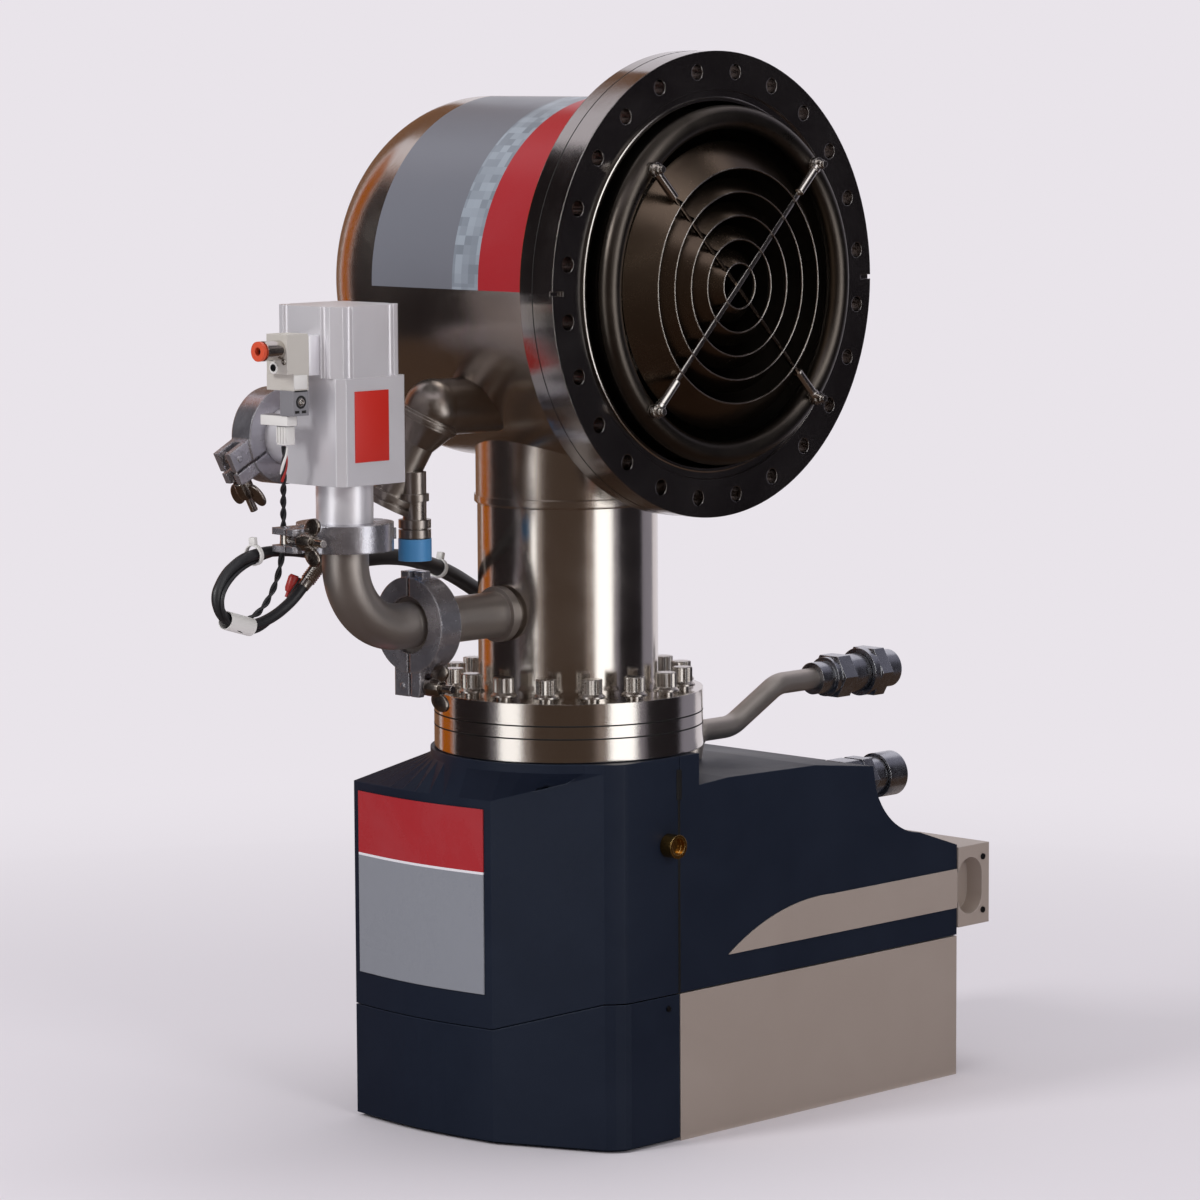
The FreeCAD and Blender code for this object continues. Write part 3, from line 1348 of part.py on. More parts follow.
branch_flanges = [
    cylinder("branch_flange", "4.6", "branch_x", "branch_y", "branch_low"),
    cylinder("branch_flange", "4.6", "branch_x", "branch_y", "branch_low + 5.4"),
    cylinder("branch_flange - 2", "4", "branch_x", "branch_y", "branch_low + 20"),
    cylinder("branch_dia + 1", "2", "branch_x", "branch_y", "branch_low + 4"),
]
stub = cylinder("cap_bore - 0.12", "4.6", "branch_x", "branch_y", "branch_low - 4.6")
node("relief_pipe", fuse(cut(nozzle, vessel_inside), ball, *leg_pieces, branch, *branch_flanges, stub))
cap_shell = cylinder("cap_dia", "cap_high", "branch_x", "branch_y", "branch_low - 0.4 - cap_high")
cap_room = cylinder("cap_bore", "cap_high - 3", "branch_x", "branch_y", "branch_low - cap_high + 3")
node("relief_cap", cut(cap_shell, cap_room))

# Helium supply line: rises out of the rear cover, bends twice and ends in its coupling
def helium_path():
    x, low, high = size("supply_x"), size("supply_low"), size("supply_high")
    start, end, bend = size("supply_start"), size("supply_end"), size("supply_bend")
    first = size("rear_top") - 14
    knee = start + size("supply_lean")
    corners = [V(x, start, first), V(x, knee, low), V(x, knee + 30, low),
               V(x, end - 32, high), V(x, end, high)]
    edges = []
    here = corners[0]
    for index in range(1, len(corners) - 1):
        before, corner, after = corners[index - 1], corners[index], corners[index + 1]
        into = (corner - before).normalize()
        out = (after - corner).normalize()
        half = into.getAngle(out) / 2
        radius = 9.0 if index == 1 else bend
        step = radius * math.tan(half)
        begin, finish = corner - into * step, corner + out * step
        middle_out = (out - into).normalize()
        centre = corner + middle_out * (radius / math.cos(half))
        middle = centre - middle_out * radius
        edges.append(Part.LineSegment(here, begin).toShape())
        edges.append(Part.Arc(begin, middle, finish).toShape())
        here = finish
    edges.append(Part.LineSegment(here, corners[-1]).toShape())
    return Part.Wire(edges)


helium_wire = helium_path()
shape_node("helium_tube", tube_along(helium_wire, size("helium_dia")))


def stack(x, start, z, rows):
    """Round and six-sided pieces one after another along +Y, joined into one."""
    pieces, reach = [], start
    for kind, across, length in rows:
        maker = hexagon if kind == "hex" else cylinder
        pieces.append(maker(across, length, x, reach, z, **ALONG_Y))
        reach = "(%s + %s)" % (reach, length)
    return pieces, reach


def dust_cap(x, start, z, rows):
    """A screwed cap: its outside from rows, bored for the thread, closed at the far end."""
    pieces, reach = stack(x, start, z, rows)
    bore = cylinder("thread_dia + 2 * screw_fit", "%s - %s - cap_skin + 1" % (reach, start), x,
                    "%s - 1" % start, z, **ALONG_Y)
    return cut(fuse(*pieces), bore)


SUPPLY_START = "(supply_end - 1)"
supply, supply_nose = stack("supply_x", SUPPLY_START, "supply_high", [
    ("round", "collar_out", "11"), ("round", "hex_flats - 1", "4"), ("hex", "hex_flats", "11"),
    ("round", "barrel_dia", "15"), ("round", "thread_dia", "22"),
])
tube_bore = cylinder("helium_dia", "20", "supply_x", "supply_end - 20", "supply_high", **ALONG_Y)
SUPPLY_CAP = "(%s - 22 + 0.5)" % supply_nose
node("supply_coupling", cut(fuse(*supply), tube_bore))
node("supply_dust_cap", dust_cap("supply_x", SUPPLY_CAP, "supply_high", [
    ("round", "cap_hex + 0.6", "5"), ("hex", "cap_hex", "9"), ("round", "cap_out", "13")]))
returning, return_nose = stack("return_x", "return_start", "return_z", [
    ("hex", "hex_flats", "13"), ("round", "hex_flats - 3", "3"), ("hex", "hex_flats", "8"),
    ("round", "barrel_dia", "10"), ("round", "thread_dia", "12"),
])
RETURN_CAP = "(%s - 12 + 0.5)" % return_nose
node("return_coupling", fuse(*returning))
node("return_dust_cap", dust_cap("return_x", RETURN_CAP, "return_z", [("round", "cap_knurl", "15")]))


# Cables held by the pump: straight runs joined by tangent arcs
def cable_wire(points):
    spots = [V(*p) for p in points]
    edges, radii = [], []
    here = spots[0]
    for before, corner, after in zip(spots, spots[1:], spots[2:]):
        into = (corner - before).normalize()
        out = (after - corner).normalize()
        half = into.getAngle(out) / 2
        shorter = min((corner - before).Length, (after - corner).Length)
        radius = 0.45 * shorter / math.tan(half)
        radii.append(radius)
        step = 0.45 * shorter
        begin, finish = corner - into * step, corner + out * step
        toward = (out - into).normalize()
        centre = corner + toward * (radius / math.cos(half))
        edges.append(Part.LineSegment(here, begin).toShape())
        edges.append(Part.Arc(begin, centre - toward * radius, finish).toShape())
        here = finish
    edges.append(Part.LineSegment(here, spots[-1]).toShape())
    return Part.Wire(edges), radii


def cable(label, points, dia):
    wire, radii = cable_wire(points)
    solid = tube_along(wire, dia)
    expected = math.pi * dia * dia / 4 * wire.Length
    print("%s: length %.0f, least radius %.1f, volume ratio %.4f" % (
        label, wire.Length, min(radii), solid.Volume / expected))
    return shape_node(label, solid)


BUNDLE = [
    (-66, 64, 202.0), (-68, 62, 222), (-71, 56, 243), (-74, 45, 262), (-74, 29, 279), (-70, 9, 293),
    (-65, -13, 304), (-58, -35, 313.5), (-52, -57, 321), (-47, -79, 327), (-42, -102, 330), (-35, -126, 331),
]
LOOP = [
    (-34, -127, 331), (-33, -146, 334.5), (-30, -166, 337.5), (-27, -186, 341), (-25, -206, 342), (-22,
                                                                                                   -224, 340),
    (-19, -239, 333), (-17, -248, 322), (-17, -244, 311), (-18, -230, 305), (-20, -215, 304), (-21, -201,
                                                                                               308),
    (-21, -189, 315), (-20, -180, 324),
]
cable("cable_bundle", BUNDLE, size("bundle_dia"))
cable("control_cable", LOOP, size("cable_dia"))
WIRES = [
    (-2.2, -210.8, 400), (-3.6, -210.2, 387), (-11.8, -203.6, 373.5), (-19, -197.2, 360), (-20.6, -196, 347),
    (-19.4, -199, 335), (-18.2, -204.4, 324), (-18.6, -211.6, 313.6),
]
cable("valve_wires", WIRES, size("wire_dia"))

doc.recompute()

# Every step has to be sound before anything is written
faults = [o.Name for o in doc.Objects if "Invalid" in o.State or "Error" in o.State]
for thing in nodes:
    if thing.Shape.isNull() or not thing.Shape.isValid() or not thing.Shape.Solids:
        faults.append(thing.Label)
if faults:
    sys.exit("these did not build: " + ", ".join(faults))

os.makedirs("parts", exist_ok=True)
for thing in nodes:
    shape = thing.Shape
    solids = shape.Solids
    print("%-22s solids %d volume %.0f" % (thing.Label, len(solids), shape.Volume))
    shape.exportStep(os.path.join("parts", thing.Label + ".step"))
print("%d nodes" % len(nodes))
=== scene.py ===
import logging
import math
from dataclasses import dataclass
from enum import Enum

import bmesh
import bpy
from mathutils import Matrix, Vector


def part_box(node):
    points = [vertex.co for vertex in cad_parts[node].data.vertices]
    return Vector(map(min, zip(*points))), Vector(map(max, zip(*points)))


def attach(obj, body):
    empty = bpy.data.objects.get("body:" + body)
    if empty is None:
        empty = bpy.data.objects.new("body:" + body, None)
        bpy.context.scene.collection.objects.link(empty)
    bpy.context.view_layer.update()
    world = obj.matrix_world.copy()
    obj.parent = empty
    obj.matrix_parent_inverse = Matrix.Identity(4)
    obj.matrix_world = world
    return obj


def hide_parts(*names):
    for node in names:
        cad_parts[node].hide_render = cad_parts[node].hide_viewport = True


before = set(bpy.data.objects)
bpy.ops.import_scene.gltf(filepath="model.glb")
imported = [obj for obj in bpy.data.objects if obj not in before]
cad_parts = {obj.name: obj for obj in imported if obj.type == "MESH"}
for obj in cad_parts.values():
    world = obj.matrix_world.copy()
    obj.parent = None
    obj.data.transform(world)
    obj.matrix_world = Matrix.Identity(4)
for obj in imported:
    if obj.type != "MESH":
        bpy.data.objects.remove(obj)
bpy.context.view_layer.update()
LOG = logging.getLogger("cryopump")
MM = 0.001
UP = Vector((0.0, 0.0, 1.0))
# The inlet's axis runs along X through this point, and the vessel round it has this radius.
INLET = Vector((0.0, 0.0, 0.481))
VESSEL_RADIUS = 0.1016
COLUMN_TOP = 0.2529
VALVE_FRAME = Matrix.Translation((0.0, -0.170, 0.0))
# A thin piece reaches this far into the face that carries it.
SUNK = 0.0001
FINE_BEVEL = 0.0002
# Points and edges nearer than this are one.
WELD_REACH = 1e-6
# Routes are quadratic splines with this many steps between two points.
ROUTE_ORDER = 3
ROUTE_STEPS = 8


class Grain(Enum):
    """How a surface was worked, as the stretch of its grain along X, Y and Z."""

    PLAIN = (1.0, 1.0, 1.0)
    TURNED_X = (14.0, 0.5, 0.5)
    TURNED_Z = (0.5, 0.5, 14.0)


def linear(colour: str) -> tuple[float, float, float, float]:
    """Turns a written sRGB colour into the linear one that a shader takes.

    Args:
        colour: six hexadecimal digits, red first.

    Returns:
        Red, green, blue and an alpha of 1.
    """
    parts = [int(colour[i:i + 2], 16) / 255 for i in (0, 2, 4)]
    return (*[c / 12.92 if c <= 0.04045 else ((c + 0.055) / 1.055) ** 2.4 for c in parts], 1.0)


class NodeSheet:
    """A node tree with short words for adding and joining nodes."""

    def __init__(self, tree: bpy.types.NodeTree) -> None:
        """Keeps the tree that nodes are added to."""
        self.tree = tree

    def add(self, kind: str, **values: object) -> bpy.types.Node:
        """Adds a node and sets its options and inputs.

        Args:
            kind: the node's type without its ShaderNode prefix.
            values: option names, or input names with spaces written as underscores.

        Returns:
            The new node.
        """
        node = self.tree.nodes.new("ShaderNode" + kind)
        for name, value in values.items():
            if hasattr(node, name):
                setattr(node, name, value)
            else:
                node.inputs[name.replace("_", " ")].default_value = value
        return node

    def join(self, source: bpy.types.NodeSocket, target: bpy.types.NodeSocket) -> None:
        """Links an output to an input."""
        self.tree.links.new(source, target)

    def maths(self, operation: str, first: object, second: object = 0.0,
              clamp: bool = False) -> bpy.types.NodeSocket:
        """Adds a Math node on two sockets or numbers.

        Args:
            operation: the node's operation.
            first: a socket or a number.
            second: a socket or a number.
            clamp: whether the result is kept between 0 and 1.

        Returns:
            The node's output.
        """
        node = self.add("Math", operation=operation, use_clamp=clamp)
        for index, value in enumerate((first, second)):
            if isinstance(value, bpy.types.NodeSocket):
                self.join(value, node.inputs[index])
            else:
                node.inputs[index].default_value = value
        return node.outputs[0]

    def mix(self, share: object, first: object, second: object) -> bpy.types.NodeSocket:
        """Mixes two colours.

        Args:
            share: a socket or number, 0 for the first colour and 1 for the second.
            first: a socket or a linear colour.
            second: a socket or a linear colour.

        Returns:
            The mixed colour's output.
        """
        node = self.add("Mix", data_type="RGBA")
        for index, value in zip((0, 6, 7), (share, first, second)):
            if isinstance(value, bpy.types.NodeSocket):
                self.join(value, node.inputs[index])
            else:
                node.inputs[index].default_value = value
        return node.outputs[2]

    def mix_shaders(self, share: bpy.types.NodeSocket, first: bpy.types.NodeSocket,
                    second: bpy.types.NodeSocket) -> bpy.types.NodeSocket:
        """Mixes two shaders.

        Args:
            share: 0 for the first shader and 1 for the second.
            first: the first shader's output.
            second: the second shader's output.

        Returns:
            The mixed shader's output.
        """
        node = self.add("MixShader")
        for index, source in enumerate((share, first, second)):
            self.join(source, node.inputs[index])
        return node.outputs[0]


class SharedGroups:
    """Node groups that more than one finish uses."""

    EDGE_GAIN = 9.0
    SMUDGE_LOW = 0.32
    SMUDGE_HIGH = 0.68

    def __init__(self) -> None:
        """Builds the groups once."""
        self.edges = self.build_edges()
        self.grain = self.build_grain()
        self.smudges = self.build_smudges()

    @staticmethod
    def start(name: str, inputs: dict[str, float], outputs: dict[str, str]) -> tuple:
        """Makes an empty group with its sockets.

        Args:
            name: the group's name.
            inputs: input names and default values; a tuple makes a vector and a number a value.
            outputs: output names and socket types.

        Returns:
            The group, a sheet on it, its input node and its output node.
        """
        group = bpy.data.node_groups.new(name, "ShaderNodeTree")
        for word, value in inputs.items():
            kind = "NodeSocketVector" if isinstance(value, tuple) else "NodeSocketFloat"
            socket = group.interface.new_socket(word, in_out="INPUT", socket_type=kind)
            socket.default_value = value
        for word, kind in outputs.items():
            group.interface.new_socket(word, in_out="OUTPUT", socket_type=kind)
        sheet = NodeSheet(group)
        return group, sheet, group.nodes.new("NodeGroupInput"), group.nodes.new("NodeGroupOutput")

    def build_edges(self) -> bpy.types.NodeTree:
        """Builds the group that finds edges and rounds them. Its mask tints edges towards a finish's edge
        colour, partly as wear and partly as a painted highlight.

        Returns:
            A group with the outputs Mask and Normal.
        """
        group, sheet, start, end = self.start(
            "edge_wear_and_highlight", {"Radius": 0.0006, "Break up": 900.0},
            {"Mask": "NodeSocketFloat", "Normal": "NodeSocketVector"})
        bevel = sheet.add("Bevel", samples=4)
        sheet.join(start.outputs["Radius"], bevel.inputs["Radius"])
        flat = sheet.add("NewGeometry")
        dot = sheet.add("VectorMath", operation="DOT_PRODUCT")
        sheet.join(bevel.outputs[0], dot.inputs[0])
        sheet.join(flat.outputs["Normal"], dot.inputs[1])
        turned = sheet.maths("SUBTRACT", 1.0, dot.outputs["Value"])
        place = sheet.add("TexCoord")
        noise = sheet.add("TexNoise", Detail=3.0)
        sheet.join(place.outputs["Object"], noise.inputs["Vector"])
        sheet.join(start.outputs["Break up"], noise.inputs["Scale"])
        uneven = sheet.maths("MULTIPLY", noise.outputs[0], self.EDGE_GAIN)
        broken = sheet.maths("MULTIPLY", turned, uneven)
        sheet.join(sheet.maths("ADD", broken, 0.0, clamp=True), end.inputs["Mask"])
        sheet.join(bevel.outputs[0], end.inputs["Normal"])
        return group

    def build_grain(self) -> bpy.types.NodeTree:
        """Builds the group that gives a worked surface its fine lines or texture.

        Returns:
            A group with the output Value, from 0 to 1.
        """
        group, sheet, start, end = self.start(
            "worked_grain", {"Stretch": (1.0, 1.0, 1.0), "Scale": 600.0, "Detail": 3.0},
            {"Value": "NodeSocketFloat"})
        place = sheet.add("TexCoord")
        scaled = sheet.add("VectorMath", operation="MULTIPLY")
        sheet.join(place.outputs["Object"], scaled.inputs[0])
        sheet.join(start.outputs["Stretch"], scaled.inputs[1])
        noise = sheet.add("TexNoise", Roughness=0.6)
        sheet.join(scaled.outputs[0], noise.inputs["Vector"])
        sheet.join(start.outputs["Scale"], noise.inputs["Scale"])
        sheet.join(start.outputs["Detail"], noise.inputs["Detail"])
        sheet.join(noise.outputs[0], end.inputs["Value"])
        return group

    def build_smudges(self) -> bpy.types.NodeTree:
        """Builds the group for handling marks and uneven tone.

        Returns:
            A group with the output Value, from 0 to 1.
        """
        group, sheet, start, end = self.start("smudges", {"Scale": 18.0}, {"Value": "NodeSocketFloat"})
        place = sheet.add("TexCoord")
        noise = sheet.add("TexNoise", Detail=5.0, Roughness=0.62, Distortion=0.6)
        sheet.join(place.outputs["Object"], noise.inputs["Vector"])
        sheet.join(start.outputs["Scale"], noise.inputs["Scale"])
        spread = sheet.add("MapRange", From_Min=self.SMUDGE_LOW, From_Max=self.SMUDGE_HIGH)
        sheet.join(noise.outputs[0], spread.inputs["Value"])
        sheet.join(spread.outputs[0], end.inputs["Value"])
        return group


@dataclass(frozen=True)
class Finish:
    """One finish: its tones, its gloss and how it was worked."""

    name: str
    colour: str
    second: str
    metal: float = 0.0
    rough: float = 0.5
    rough_spread: float = 0.08
    grain: Grain = Grain.PLAIN
    grain_scale: float = 700.0
    grain_depth: float = 0.00004
    grain_tone: float = 0.15
    smudge_scale: float = 18.0
    smudge_tone: float = 0.25
    # Colour towards which edges are tinted: partly wear, partly a painted edge highlight.
    edge: str = ""
    edge_radius: float = 0.0006
    edge_share: float = 0.6
    coat: float = 0.0
    coat_rough: float = 0.12
    gloss: float = 0.5
    bump_strength: float = 0.5

    def material(self, groups: SharedGroups) -> bpy.types.Material:
        """Builds the finish as a material.

        Args:
            groups: the shared node groups.

        Returns:
            The material.
        """
        made = bpy.data.materials.new(self.name)
        made.use_nodes = True
        sheet = NodeSheet(made.node_tree)
        shader = made.node_tree.nodes["Principled BSDF"]
        shader.inputs["Metallic"].default_value = self.metal
        shader.inputs["Coat Weight"].default_value = self.coat
        shader.inputs["Coat Roughness"].default_value = self.coat_rough
        shader.inputs["Specular IOR Level"].default_value = self.gloss
        grain = sheet.add("Group", node_tree=groups.grain)
        grain.inputs["Stretch"].default_value = self.grain.value
        grain.inputs["Scale"].default_value = self.grain_scale
        smudge = sheet.add("Group", node_tree=groups.smudges)
        smudge.inputs["Scale"].default_value = self.smudge_scale
        edges = sheet.add("Group", node_tree=groups.edges)
        edges.inputs["Radius"].default_value = self.edge_radius
        base = self.base_colour(sheet)
        lifted = sheet.maths("MULTIPLY", smudge.outputs[0], self.smudge_tone)
        lined = sheet.maths("MULTIPLY", grain.outputs[0], self.grain_tone)
        tone = sheet.mix(sheet.maths("ADD", lifted, lined, clamp=True), base, linear(self.second))
        if self.edge:
            # Edges take the edge colour, partly as wear and partly as a painted highlight.
            wear_and_highlight_share = sheet.maths("MULTIPLY", edges.outputs["Mask"], self.edge_share, clamp=True)
            tone = sheet.mix(wear_and_highlight_share, tone, linear(self.edge))
        sheet.join(tone, shader.inputs["Base Color"])
        uneven = sheet.maths("MULTIPLY", smudge.outputs[0], self.rough_spread)
        streaks = sheet.maths("MULTIPLY", grain.outputs[0], self.rough_spread)
        rough = sheet.maths("ADD", sheet.maths("ADD", uneven, streaks), self.rough - self.rough_spread)
        sheet.join(rough, shader.inputs["Roughness"])
        bump = sheet.add("Bump", Strength=self.bump_strength, Distance=self.grain_depth)
        sheet.join(grain.outputs[0], bump.inputs["Height"])
        sheet.join(edges.outputs["Normal"], bump.inputs["Normal"])
        sheet.join(bump.outputs[0], shader.inputs["Normal"])
        return made

    def base_colour(self, sheet: NodeSheet) -> bpy.types.NodeSocket:
        """Gives the colour before wear.

        Args:
            sheet: the material's nodes.

        Returns:
            The colour's output.
        """
        plain = sheet.add("RGB")
        plain.outputs[0].default_value = linear(self.colour)
        return plain.outputs[0]


@dataclass(frozen=True)
class BandedFinish(Finish):
    """A printed finish whose plain colours change along one axis of the object."""

    axis: int = 2
    stops: tuple[tuple[float, str], ...] = ()
    squares: float = 0.0
    square_tone: str = "6d747d"
    square_share: float = 0.8

    def base_colour(self, sheet: NodeSheet) -> bpy.types.NodeSocket:
        """Gives the bands' colours: each stop holds the colour that starts at its place.

        Args:
            sheet: the material's nodes.

        Returns:
            The colour's output.
        """
        place = sheet.add("TexCoord")
        split = sheet.add("SeparateXYZ")
        sheet.join(place.outputs["Object"], split.inputs[0])
        along = split.outputs[self.axis]
        tone = linear(self.colour)
        for index, (start, colour) in enumerate(self.stops):
            past = sheet.maths("GREATER_THAN", along, start)
            band = linear(colour)
            if self.squares and index == 0:
                band = self.squared(sheet, split, band)
            tone = sheet.mix(past, tone, band)
        return tone

    def squared(self, sheet: NodeSheet, split: bpy.types.Node, pale: tuple) -> bpy.types.NodeSocket:
        """Breaks a band into small squares of uneven tone.

        Args:
            sheet: the material's nodes.
            split: the node that gives the object's X, Y and Z.
            pale: the band's pale colour.

        Returns:
            The squares' colour.
        """
        above = sheet.maths("SUBTRACT", split.outputs[2], INLET.z)
        round_vessel = sheet.maths("ARCTAN2", above, split.outputs[1])
        cell = sheet.add("CombineXYZ")
        rows = ((split.outputs[0], self.squares), (round_vessel, self.squares / VESSEL_RADIUS))
        for index, (value, size) in enumerate(rows):
            sheet.join(sheet.maths("FLOOR", sheet.maths("DIVIDE", value, size)), cell.inputs[index])
        uneven = sheet.add("TexWhiteNoise")
        sheet.join(cell.outputs[0], uneven.inputs["Vector"])
        share = sheet.maths("MULTIPLY", uneven.outputs["Value"], self.square_share)
        return sheet.mix(share, pale, linear(self.square_tone))


# The pale edge colours given here and below are partly wear, partly painted edge highlights.
STEEL = dict(metal=1.0, smudge_tone=0.2, grain_tone=0.25, edge="f4f1ee", edge_share=0.4)
FINISHES = (
    Finish("vessel_steel", "c6beb6", "dcd5ce", rough=0.2, grain=Grain.TURNED_X, grain_scale=420,
           grain_depth=0.00003, **STEEL),
    Finish("column_steel", "ccc5be", "e2dcd6", rough=0.17, grain=Grain.TURNED_Z, grain_scale=420,
           grain_depth=0.00002, **STEEL),
    Finish("flange_steel", "c8c2bc", "dfd9d4", rough=0.13, grain=Grain.TURNED_Z, grain_scale=900,
           grain_depth=0.00002, **STEEL),
    Finish("inlet_steel", "a6a2a0", "c6c1bd", rough=0.13, grain=Grain.TURNED_X, grain_scale=900,
           grain_depth=0.00002, **STEEL),
    Finish("screw_steel", "b9b3ad", "d6d1cc", rough=0.28, grain_scale=1500, **STEEL),
    Finish("bright_steel", "c4beb8", "e2deda", rough=0.18, grain_scale=1500, **STEEL),
    Finish("blasted_steel", "a29a95", "bdb6b1", metal=0.9, rough=0.42, grain_scale=2600,
           grain_depth=0.00012, grain_tone=0.35, smudge_tone=0.35, edge="cfcac6"),
    Finish("dull_steel", "9d958f", "b9b1ab", metal=1.0, rough=0.3, grain_scale=1200,
           grain_depth=0.00005, grain_tone=0.3, smudge_tone=0.35, edge="d8d3ce"),
    Finish("copper", "b4714e", "8d5136", metal=1.0, rough=0.3, grain=Grain.TURNED_Z),
    Finish("nickel_copper", "a8a29a", "c9c4bd", metal=1.0, rough=0.26),
    Finish("louver_nickel", "62554a", "7d6e5e", rough=0.26, rough_spread=0.06, metal=1.0,
           grain_scale=1600, grain_depth=0.00003, smudge_tone=0.4, edge="cabdb0", edge_radius=0.0003,
           edge_share=0.3),
    Finish("shield_nickel", "45403c", "625b55", rough=0.31, metal=1.0, grain_scale=1500,
           grain_depth=0.00012, grain_tone=0.5, smudge_tone=0.4, edge="a89e95", edge_share=0.3),
    Finish("navy_plastic", "131b2a", "1c2638", rough=0.44, gloss=0.22, grain_scale=2300,
           grain_depth=0.00012, grain_tone=0.3, edge="3a4558", edge_radius=0.0008, edge_share=0.4),
    Finish("champagne_paint", "a89a90", "b8aba2", metal=0.25, rough=0.42, grain_scale=3000,
           grain_depth=0.00006, grain_tone=0.5, smudge_tone=0.15, edge="d6cdc6"),
    Finish("circuit_board", "1d5a34", "2c7747", rough=0.5, coat=0.4),
    Finish("black_metal", "17171a", "26262a", metal=0.6, rough=0.36),
    Finish("brass", "b98f4c", "d9b673", metal=1.0, rough=0.24, edge="f2dca4"),
    Finish("silver_anodised", "e4e2e6", "efedf1", metal=0.5, rough=0.33, grain_scale=3200,
           grain_depth=0.00004, grain_tone=0.4, smudge_tone=0.12, edge="f6f6f8", edge_radius=0.0005),
    Finish("cast_aluminium", "a9a8b0", "c9c8cf", metal=0.87, rough=0.25, grain_scale=420,
           grain_depth=0.00016, grain_tone=0.45, smudge_tone=0.6, edge="f0f0f2", smudge_scale=80,
           edge_radius=0.0012, edge_share=0.5),
    Finish("polished_nut", "8f867e", "bdb5ac", metal=1.0, rough=0.22, grain_scale=1200, smudge_tone=0.5,
           smudge_scale=120, edge="efebe6"),
    Finish("spring_steel", "8e8b88", "b4b1ad", metal=1.0, rough=0.3),
    Finish("cream_plastic", "bdb8b0", "cbc7bf", rough=0.42, grain_scale=2600, edge="f2efe9"),
    Finish("orange_plastic", "d0492a", "e0643f", rough=0.34, grain_scale=1800),
    Finish("zinc", "a3a6ad", "c6cad2", metal=1.0, rough=0.27, grain_scale=900, smudge_tone=0.5,
           smudge_scale=90, edge="f2f4f8"),
    Finish("blue_plastic", "3a7fb4", "5a9bcb", rough=0.38, grain_scale=1800, edge="8fc1e4"),
    Finish("black_cable", "1f1f22", "303034", rough=0.46, grain_scale=1800, grain_depth=0.00006),
    Finish("filled_plastic", "22201e", "33302d", rough=0.5),
    Finish("cast_housing", "77787b", "8f9093", metal=0.9, rough=0.45, grain_scale=600, grain_depth=0.0003),
    Finish("white_plastic", "d9d7d3", "e8e6e2", rough=0.4, grain_scale=1800),
    Finish("red_plastic", "9c2420", "b8342c", rough=0.4, grain_scale=1800),
    Finish("grey_plastic", "77767a", "8b8a8e", rough=0.45, grain_scale=2200, edge="a9a8ac"),
    # Near black: dark joints and marks, and painted shade in the fitting's hole and the sockets' openings.
    Finish("dark_gap", "050506", "0a0a0b", rough=0.6),
    BandedFinish("front_print", "85888f", "9a9da4", rough=0.28, rough_spread=0.05, grain_scale=2500,
                 grain_depth=0.00001, grain_tone=0.1, smudge_tone=0.04, gloss=0.3, axis=2,
                 stops=((0.1527, "e4e2e6"), (0.1541, "a60e17"))),
    BandedFinish("vessel_print", "6f7179", "84868e", rough=0.3, rough_spread=0.05, grain_scale=2500,
                 grain_depth=0.00001, grain_tone=0.1, smudge_tone=0.04, gloss=0.3, axis=0,
                 stops=((0.0137, "9aa3ad"), (0.0338, "a60e17")), squares=0.0052),
    Finish("red_print", "c0281f", "c93a31", rough=0.34, grain_scale=2500, grain_depth=0.00001, gloss=0.3,
           grain_tone=0.1, smudge_tone=0.1),
)

NODE_FINISHES = {
    "vacuum_vessel": "vessel_steel", "inlet_flange": "inlet_steel", "column_tube": "column_steel",
    "column_flange": "flange_steel", "middle_flange": "flange_steel", "coldhead_flange": "flange_steel",
    "copper_gasket": "copper", "flange_screws": "screw_steel", "radiation_shield": "shield_nickel",
    "louver_rings": "louver_nickel", "louver_cross_bars": "bright_steel", "array_hardware": "bright_steel",
    "coldhead_cylinder": "nickel_copper", "cold_array": "nickel_copper", "displacer": "filled_plastic",
    "drive_yoke": "spring_steel", "drive_housing": "cast_housing", "drive_motor": "cast_housing",
    "crankshaft": "bright_steel", "crank_bearings": "bright_steel", "upper_front_cover": "navy_plastic",
    "lower_front_cover": "navy_plastic", "front_label": "front_print", "rear_cover": "navy_plastic",
    "rear_trim": "champagne_paint", "module_box": "champagne_paint", "control_board": "circuit_board",
    "connector_block": "champagne_paint", "cover_screws": "black_metal", "cover_thumbscrew": "brass",
    "valve_body": "silver_anodised", "valve_cylinder": "silver_anodised", "valve_piston": "bright_steel",
    "valve_spring": "spring_steel", "solenoid_body": "cream_plastic", "solenoid_coil": "grey_plastic",
    "push_fitting": "bright_steel", "release_ring": "orange_plastic", "override_button": "black_metal",
    "elbow": "blasted_steel", "side_tube": "blasted_steel", "clamp_fixed_jaws": "cast_aluminium",
    "clamp_swing_jaws": "cast_aluminium", "centering_rings": "bright_steel", "relief_pipe": "dull_steel",
    "relief_cap": "blue_plastic", "helium_tube": "blasted_steel", "supply_coupling": "zinc",
    "supply_dust_cap": "zinc", "return_coupling": "zinc", "return_dust_cap": "zinc",
    "cable_bundle": "black_cable", "control_cable": "black_cable", "valve_wires": "red_plastic",
    "outlet_clamp_bolt": "bright_steel", "valve_clamp_bolt": "bright_steel",
    "column_clamp_bolt": "bright_steel", "outlet_clamp_nut": "cast_aluminium",
    "valve_clamp_nut": "cast_aluminium", "column_clamp_nut": "cast_aluminium",
}


def put_in_scene(name: str, data: bpy.types.ID) -> bpy.types.Object:
    """Makes an object of some data and puts it in the scene.

    Args:
        name: the object's name.
        data: its mesh, curve, lamp or camera.

    Returns:
        The new object.
    """
    made = bpy.data.objects.new(name, data)
    bpy.context.scene.collection.objects.link(made)
    return made


